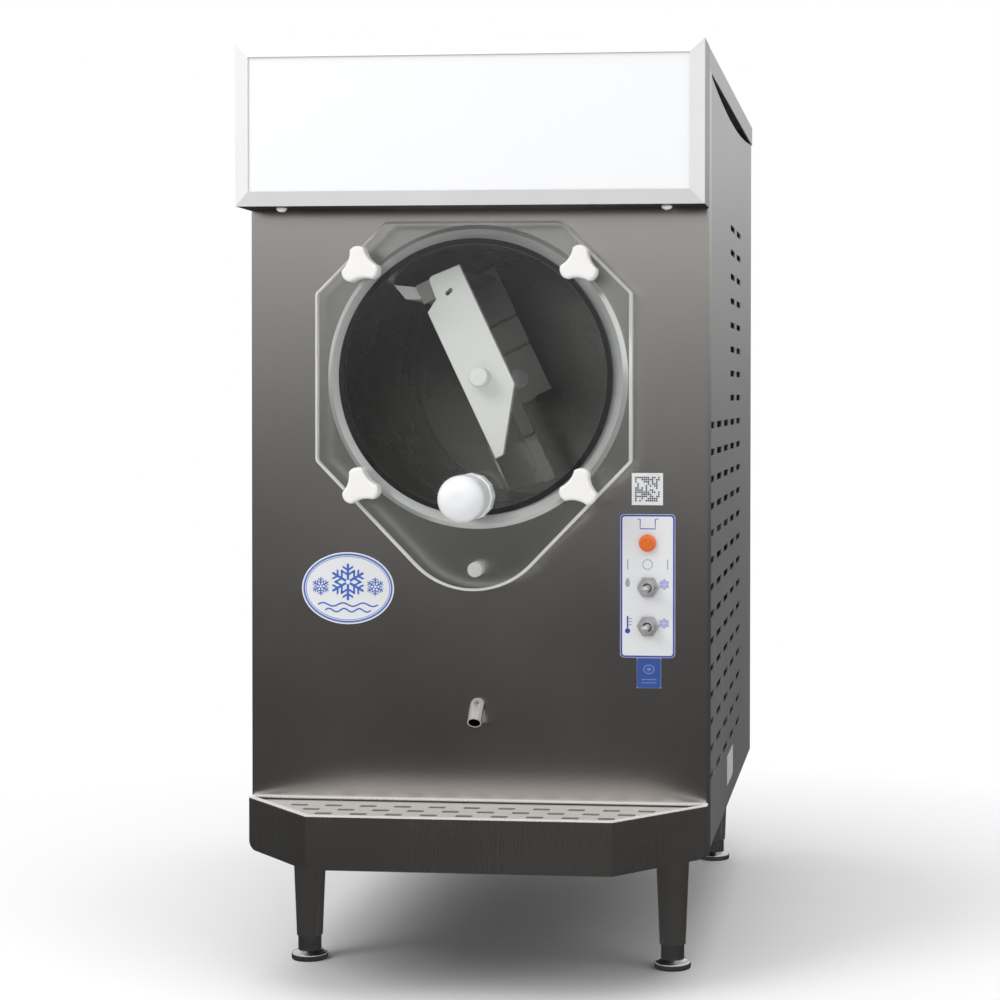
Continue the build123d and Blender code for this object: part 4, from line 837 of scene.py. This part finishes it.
class MAKER_OT_labels_print(bpy.types.Operator):
    """Prints the oval badge, the code label and the two stickers"""

    bl_idname = "maker.labels_print"
    bl_label = "Badge and sticker prints"

    def execute(self, context):
        prints = context.scene.maker_print
        film = prints.film
        blue = printed_film("badge_blue", (0.05, 0.14, 0.52))
        pale = printed_film("sticker_pale", (0.16, 0.24, 0.5))
        dark = printed_film("code_grey", (0.09, 0.09, 0.10))
        sticker_blue = printed_film("sticker_blue", (0.035, 0.085, 0.33), 0.35)
        face_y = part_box("front_panel")[0].y - 0.4 * MM

        badge_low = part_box("labels")[0]
        badge_width = 82.8 * MM
        badge_height = 63.6 * MM
        badge = (badge_low.x + badge_width / 2, 344 * MM)
        rim = bmesh.new()
        for inset, line in ((1.3 * MM, 1.5 * MM), (3.6 * MM, 0.5 * MM)):
            add_band(rim, ellipse(badge, badge_width / 2 - inset, badge_height / 2 - inset),
                     ellipse(badge, badge_width / 2 - inset - line, badge_height / 2 - inset - line),
                     face_y, film)
        wave_half = 27 * MM
        for wave in range(2):
            wave_z = badge[1] - (14.5 + 5 * wave) * MM
            reach = wave_half - 6.5 * MM * wave
            row = [(badge[0] - reach + 2 * reach * i / 40,
                    wave_z + 1.5 * MM * sin(i / 40 * 6 * pi)) for i in range(41)]
            add_stroke(rim, row, 1.3 * MM, face_y, film)
        rim_piece = new_piece("badge_rim_print", close_mesh("badge_rim_print", rim))
        paint(rim_piece, blue)
        settle(rim_piece, "cabinet")

        crystals = []
        spots = ((0, 5.5, prints.badge_crystal), (-24.5, 1.5, prints.badge_crystal * 0.5),
                 (24.5, 1.5, prints.badge_crystal * 0.5))
        for number, (across, rise, radius) in enumerate(spots):
            arm = bmesh.new()
            add_patch(arm, crystal_arm(radius), 0.0, film)
            spot = Vector((badge[0] + across * MM, face_y, badge[1] + rise * MM))
            crystals.append(repeated(f"badge_crystal_{number}", close_mesh("badge_arm", arm), [spot] * 6,
                                     blue, turn_step=(0, radians(60), 0)))
        settle(joined("badge_crystal_print", crystals), "cabinet")

        cells = prints.code_cells
        code_centre = Vector((149.6 * MM, face_y, 433 * MM))
        pitch = 22 * MM / cells
        dot = bmesh.new()
        add_patch(dot, ellipse((0, 0), pitch * 0.46, pitch * 0.46, 8), 0.0, film)
        grid = [code_centre + Vector(((i - (cells - 1) / 2) * pitch, 0, (j - (cells - 1) / 2) * pitch))
                for i in range(cells) for j in range(cells)]
        dots = repeated("code_pattern_print", close_mesh("code_dot", dot), grid, dark, kept=0.55, seed=11)
        settle(dots, "cabinet")

        sticker = (151.2 * MM, 272.4 * MM)
        ground = bmesh.new()
        add_patch(ground, round_rectangle(sticker, 20.9 * MM, 25.7 * MM, 1.2 * MM), face_y, film)
        ground_piece = new_piece("sticker_ground_print", close_mesh("sticker_ground_print", ground))
        paint(ground_piece, sticker_blue)
        settle(ground_piece, "cabinet")
        emblem = bmesh.new()
        emblem_y = face_y - film
        emblem_centre = (sticker[0], sticker[1] + 3.4 * MM)
        add_band(emblem, ellipse(emblem_centre, 5 * MM, 4.2 * MM, 32),
                 ellipse(emblem_centre, 4 * MM, 3.2 * MM, 32), emblem_y, film)
        add_patch(emblem, ellipse(emblem_centre, 1.8 * MM, 1.5 * MM, 20), emblem_y, film)
        for row in range(2):
            row_z = sticker[1] - (5.5 + 2.8 * row) * MM
            add_stroke(emblem, [(sticker[0] - 6.5 * MM, row_z), (sticker[0] + 6.5 * MM, row_z)], 0.8 * MM,
                       emblem_y, film)
        emblem_piece = new_piece("sticker_emblem_print", close_mesh("sticker_emblem_print", emblem))
        paint(emblem_piece, pale)
        settle(emblem_piece, "cabinet")
        return {"FINISHED"}


class MAKER_OT_valve_spring(bpy.types.Operator):
    """Makes the valve's return spring from the CAD spring's mesh"""

    bl_idname = "maker.valve_spring"
    bl_label = "Valve spring"

    def execute(self, context):
        build = bmesh.new()
        build.from_mesh(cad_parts["valve_spring"].data)
        bmesh.ops.remove_doubles(build, verts=build.verts, dist=0.000001)
        for face in build.faces:
            face.smooth = True
        mesh = bpy.data.meshes.new("return_spring")
        build.to_mesh(mesh)
        build.free()
        spring = new_piece("return_spring", mesh)
        paint(spring, plain_metal("spring_wire", (0.6, 0.6, 0.6), 0.3))
        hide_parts("valve_spring")
        settle(spring, "door")
        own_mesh(spring)
        return {"FINISHED"}


class MAKER_OT_screws(bpy.types.Operator):
    """Puts domed, cross-recessed screws in the light box and the rear panel"""

    bl_idname = "maker.screws"
    bl_label = "Cover screws"

    def execute(self, context):
        detail = context.scene.maker_detail
        unit = screw_mesh(detail.screw_head, detail.screw_rise)
        white = moulded_plastic("screw_white", (0.85, 0.85, 0.85), 0.3, coat=0.3)
        steel = plain_metal("screw_steel", (0.6, 0.6, 0.6), 0.22)
        box_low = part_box("lightbox_housing")[0]
        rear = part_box("rear_panel")[1].y
        under_x, under_y = 168.7 * MM, -283 * MM
        rear_x, rear_zs = 188 * MM, (150 * MM, 455 * MM, 770 * MM)
        under = [(side * under_x, under_y, box_low.z) for side in (-1, 1)]
        behind = [(side * rear_x, rear, z) for side in (-1, 1) for z in rear_zs]
        lower = repeated("box_screws", unit, under, white, turn=(pi, 0, 0))
        back = repeated("rear_screws", unit.copy(), behind, steel, turn=(-pi / 2, 0, 0))
        screws = joined("domed_cover_screws", [lower, back])
        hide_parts("cover_screws")
        settle(screws, "cabinet")
        return {"FINISHED"}


def screw_mesh(head, rise):
    """A domed screw head with a cross recess, its seat at the origin and its head along +z."""
    build = bmesh.new()
    steps = 32
    rings = []
    levels = ((0.28, 1.0), (0.55, 0.90), (0.8, 0.66), (0.95, 0.34), (1.0, 0.08), (1.0, 0.0), (0.44, 0.0))
    for radius, level in levels:
        rings.append([build.verts.new((head * radius * cos(2 * pi * i / steps),
                                       head * radius * sin(2 * pi * i / steps), rise * level))
                      for i in range(steps)])
    shank_end = [build.verts.new((head * 0.44 * cos(2 * pi * i / steps),
                                  head * 0.44 * sin(2 * pi * i / steps), -1.6 * head))
                 for i in range(steps)]
    rings.append(shank_end)
    for inner, outer in zip(rings, rings[1:]):
        for i in range(steps):
            j = (i + 1) % steps
            build.faces.new((inner[i], inner[j], outer[j], outer[i]))
    build.faces.new(list(reversed(shank_end)))
    floor = [build.verts.new((vert.co.x * (0.95 if (i // 4) % 2 == 0 else 0.45),
                              vert.co.y * (0.95 if (i // 4) % 2 == 0 else 0.45), rise * 0.45))
             for i, vert in enumerate(rings[0])]
    for i in range(steps):
        j = (i + 1) % steps
        build.faces.new((floor[i], floor[j], rings[0][j], rings[0][i]))
    build.faces.new(floor)
    for face in build.faces:
        face.smooth = True
    return close_mesh("screw", build)


class MAKER_OT_condenser(bpy.types.Operator):
    """Builds the condenser from its fins and its bent tube"""

    bl_idname = "maker.condenser"
    bl_label = "Condenser"

    def execute(self, context):
        detail = context.scene.maker_detail
        low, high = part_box("condenser_coil")
        tube_r = 4.75 * MM
        bend_r = 20 * MM
        half = high.x - bend_r - tube_r
        fin_low = low.z + 1 * MM
        fin_high = high.z - 1 * MM
        waves = 14
        fin = bmesh.new()
        strip = []
        for i in range(waves + 1):
            y = low.y + 0.5 * MM + (high.y - low.y - 1 * MM) * i / waves
            x = 0.5 * MM * (-1 if i % 2 else 1)
            strip.append([fin.verts.new((x + side * detail.fin_sheet / 2, y, z))
                          for side in (-1, 1) for z in (fin_low, fin_high)])
        for near, far in zip(strip, strip[1:]):
            left_low, left_high, right_low, right_high = near
            far_left_low, far_left_high, far_right_low, far_right_high = far
            fin.faces.new((left_low, far_left_low, far_left_high, left_high))
            fin.faces.new((right_high, far_right_high, far_right_low, right_low))
            fin.faces.new((left_high, far_left_high, far_right_high, right_high))
            fin.faces.new((right_low, far_right_low, far_left_low, left_low))
        for end in (strip[0], strip[-1]):
            fin.faces.new((end[0], end[1], end[3], end[2]))
        count = int(2 * half / detail.fin_pitch)
        places = [((i - (count - 1) / 2) * detail.fin_pitch, 0, 0) for i in range(count)]
        aluminium = plain_metal("fin_aluminium", (0.66, 0.67, 0.68), 0.4)
        fins = repeated("condenser_fins", close_mesh("fin", fin), places, aluminium)
        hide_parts("condenser_coil")
        settle(fins, "cabinet")

        rows = [low.z + 25 * MM + 40 * MM * row for row in range(5)]
        tubes = []
        for y in (high.y - 14 * MM, high.y - 30 * MM):
            points = []
            for row, z in enumerate(rows):
                side = -1 if row % 2 == 0 else 1
                points += [(side * half, y, z), (-side * half, y, z)]
                if row < len(rows) - 1:
                    points += [(-side * (half + bend_r * sin(pi * i / 12)), y,
                                z + bend_r * (1 - cos(pi * i / 12))) for i in range(1, 12)]
            tubes.append(points)
        curve = bpy.data.curves.new("condenser_tube", "CURVE")
        curve.dimensions = "3D"
        curve.bevel_depth = tube_r
        curve.bevel_resolution = 5
        curve.use_fill_caps = True
        for points in tubes:
            spline = curve.splines.new("POLY")
            spline.points.add(len(points) - 1)
            for point, place in zip(spline.points, points):
                point.co = (*place, 1)
        tube = new_piece("condenser_tube", curve)
        bpy.context.view_layer.update()
        graph = bpy.context.evaluated_depsgraph_get()
        mesh = bpy.data.meshes.new_from_object(tube.evaluated_get(graph))
        bpy.data.objects.remove(tube)
        solid = new_piece("condenser_tube", mesh)
        paint(solid, plain_metal("condenser_copper", (0.55, 0.29, 0.19), 0.34))
        settle(solid, "cabinet")
        return {"FINISHED"}


class MAKER_OT_stage(bpy.types.Operator):
    """Makes the pale floor, the studio lights and the camera"""

    bl_idname = "maker.stage"
    bl_label = "Stage"

    def execute(self, context):
        stage = context.scene.maker_stage
        add_floor(stage.floor_size)
        add_world(stage.ambient)
        aim = Vector((0, 0, 0.42))
        soft_light("key", (-1.5, -1.7, 2.0), aim, 1.4, stage.key_power)
        soft_light("fill", (2.2, -1.2, 1.2), aim, 1.6, stage.fill_power)
        soft_light("top", (0, -0.4, 2.6), Vector((0, 0, 0)), 2.4, stage.top_power)
        add_camera(stage.lens)
        context.scene.view_settings.view_transform = "Standard"
        return {"FINISHED"}


def add_floor(size):
    half = size / 2
    near = 0.42
    far = 0.95
    mesh = bpy.data.meshes.new("floor")
    mesh.from_pydata([(-half, -half, 0), (half, -half, 0), (half, half, 0), (-half, half, 0)], [],
                     [(0, 1, 2, 3)])
    floor = new_piece("floor", mesh)
    material, tree, shader = new_material("pale_floor")
    speck = noise(tree, mapped(tree, (2, 2, 2)), detail=2)
    tree.links.new(tint(tree, speck, (0.88, 0.88, 0.88), (0.9, 0.9, 0.9)), shader.inputs["Base Color"])
    shader.inputs["Roughness"].default_value = 0.8
    shader.inputs["Specular IOR Level"].default_value = 0.2
    reach = tree.nodes.new("ShaderNodeVectorMath")
    reach.operation = "LENGTH"
    tree.links.new(mapped(tree, (1, 1, 1)), reach.inputs[0])
    white = tree.nodes.new("ShaderNodeEmission")
    mix = tree.nodes.new("ShaderNodeMixShader")
    tree.links.new(spread(tree, reach.outputs["Value"], 0, 1, near, far), mix.inputs["Fac"])
    tree.links.new(shader.outputs["BSDF"], mix.inputs[1])
    tree.links.new(white.outputs["Emission"], mix.inputs[2])
    tree.links.new(mix.outputs["Shader"], tree.nodes["Material Output"].inputs["Surface"])
    paint(floor, material)
    floor.visible_glossy = False


MIRRORED_LEVELS = ((0.0, 0.03), (0.42, 0.045), (0.445, 0.045), (0.4725, 0.065), (0.499, 0.19), (0.5315, 0.5),
                   (0.55, 0.8), (0.65, 0.95), (1.0, 0.85))
LIT_LEVELS = ((0.0, 0.1), (0.45, 0.04), (0.54, 0.05), (0.68, 0.75), (1.0, 1.2))


def sky_ramp(tree, rise, levels):
    """Grey levels from straight down, at 0, to straight up, at 1."""
    ramp = tree.nodes.new("ShaderNodeValToRGB")
    steps = ramp.color_ramp.elements
    for step, (place, level) in zip((steps[0], steps[1]), (levels[0], levels[-1])):
        step.position = place
        step.color = (level, level, level, 1)
    for place, level in levels[1:-1]:
        steps.new(place).color = (level, level, level, 1)
    tree.links.new(rise, ramp.inputs["Fac"])
    return ramp.outputs["Color"]


def add_world(ambient):
    """A white room for the eye, darker at the horizon for what is lit and mirrored."""
    world = bpy.data.worlds.new("studio")
    bpy.context.scene.world = world
    world.use_nodes = True
    tree = world.node_tree
    tree.nodes.clear()
    output = tree.nodes.new("ShaderNodeOutputWorld")
    coordinates = tree.nodes.new("ShaderNodeTexCoord")
    split = tree.nodes.new("ShaderNodeSeparateXYZ")
    tree.links.new(coordinates.outputs["Generated"], split.inputs["Vector"])
    rise = spread(tree, split.outputs["Z"], 0, 1, -1, 1)
    mirrored = tree.nodes.new("ShaderNodeBackground")
    tree.links.new(sky_ramp(tree, rise, MIRRORED_LEVELS), mirrored.inputs["Color"])
    lit = tree.nodes.new("ShaderNodeBackground")
    tree.links.new(sky_ramp(tree, rise, LIT_LEVELS), lit.inputs["Color"])
    lit.inputs["Strength"].default_value = ambient
    seen = tree.nodes.new("ShaderNodeBackground")
    seen.inputs["Color"].default_value = (1, 1, 1, 1)
    path = tree.nodes.new("ShaderNodeLightPath")
    first = tree.nodes.new("ShaderNodeMixShader")
    tree.links.new(path.outputs["Is Glossy Ray"], first.inputs["Fac"])
    tree.links.new(lit.outputs["Background"], first.inputs[1])
    tree.links.new(mirrored.outputs["Background"], first.inputs[2])
    second = tree.nodes.new("ShaderNodeMixShader")
    tree.links.new(path.outputs["Is Camera Ray"], second.inputs["Fac"])
    tree.links.new(first.outputs["Shader"], second.inputs[1])
    tree.links.new(seen.outputs["Background"], second.inputs[2])
    tree.links.new(second.outputs["Shader"], output.inputs["Surface"])


def soft_light(name, place, aim, size, power):
    data = bpy.data.lights.new(name, "AREA")
    data.shape = "SQUARE"
    data.size = size
    data.energy = power
    light = bpy.data.objects.new(name, data)
    light.location = place
    light.rotation_euler = (aim - Vector(place)).to_track_quat("-Z", "Y").to_euler()
    light.visible_glossy = False
    bpy.context.scene.collection.objects.link(light)


def add_camera(focal_length):
    """The camera stands in front, a little to the right, level with the barrel."""
    turn_left = 0.0992
    look_down = 0.0169
    roll = 0.0016
    ahead = Vector((-sin(turn_left) * cos(look_down), cos(turn_left) * cos(look_down), -sin(look_down)))
    level = Vector((cos(turn_left), sin(turn_left), 0))
    upward = level.cross(ahead)
    right = level * cos(roll) + upward * sin(roll)
    above = upward * cos(roll) - level * sin(roll)
    data = bpy.data.cameras.new("camera")
    data.sensor_width = 36
    data.lens = focal_length
    data.shift_x = -0.164
    data.shift_y = -0.067
    camera = bpy.data.objects.new("camera", data)
    turn = Matrix((right, above, -ahead)).transposed()
    camera.matrix_world = Matrix.Translation((0.361, -2.237, 0.5155)) @ turn.to_4x4()
    bpy.context.scene.collection.objects.link(camera)
    bpy.context.scene.camera = camera


OPERATORS = (MAKER_OT_finishes, MAKER_OT_front_plate, MAKER_OT_control_print, MAKER_OT_labels_print,
             MAKER_OT_valve_spring, MAKER_OT_screws, MAKER_OT_condenser, MAKER_OT_stage)


class MAKER_PT_panel(bpy.types.Panel):
    """Lists the machine's steps and their settings"""

    bl_idname = "MAKER_PT_panel"
    bl_label = "Ice cream maker"
    bl_space_type = "VIEW_3D"
    bl_region_type = "UI"
    bl_category = "Ice Cream Maker"

    def draw(self, context):
        for operator in OPERATORS:
            self.layout.operator(operator.bl_idname)
        for name, group in SETTINGS.items():
            box = self.layout.box()
            for setting in group.__annotations__:
                box.prop(getattr(context.scene, name), setting)


def register():
    for group in SETTINGS.values():
        bpy.utils.register_class(group)
    for name, group in SETTINGS.items():
        setattr(bpy.types.Scene, name, bpy.props.PointerProperty(type=group))
    for operator in OPERATORS:
        bpy.utils.register_class(operator)
    bpy.utils.register_class(MAKER_PT_panel)


def unregister():
    bpy.utils.unregister_class(MAKER_PT_panel)
    for operator in reversed(OPERATORS):
        bpy.utils.unregister_class(operator)
    for name in SETTINGS:
        delattr(bpy.types.Scene, name)
    for group in reversed(SETTINGS.values()):
        bpy.utils.unregister_class(group)


def main():
    register()
    bpy.ops.maker.stage()
    bpy.ops.maker.finishes()
    bpy.ops.maker.front_plate()
    bpy.ops.maker.control_print()
    bpy.ops.maker.labels_print()
    bpy.ops.maker.valve_spring()
    bpy.ops.maker.screws()
    bpy.ops.maker.condenser()


if __name__ == "__main__":
    main()
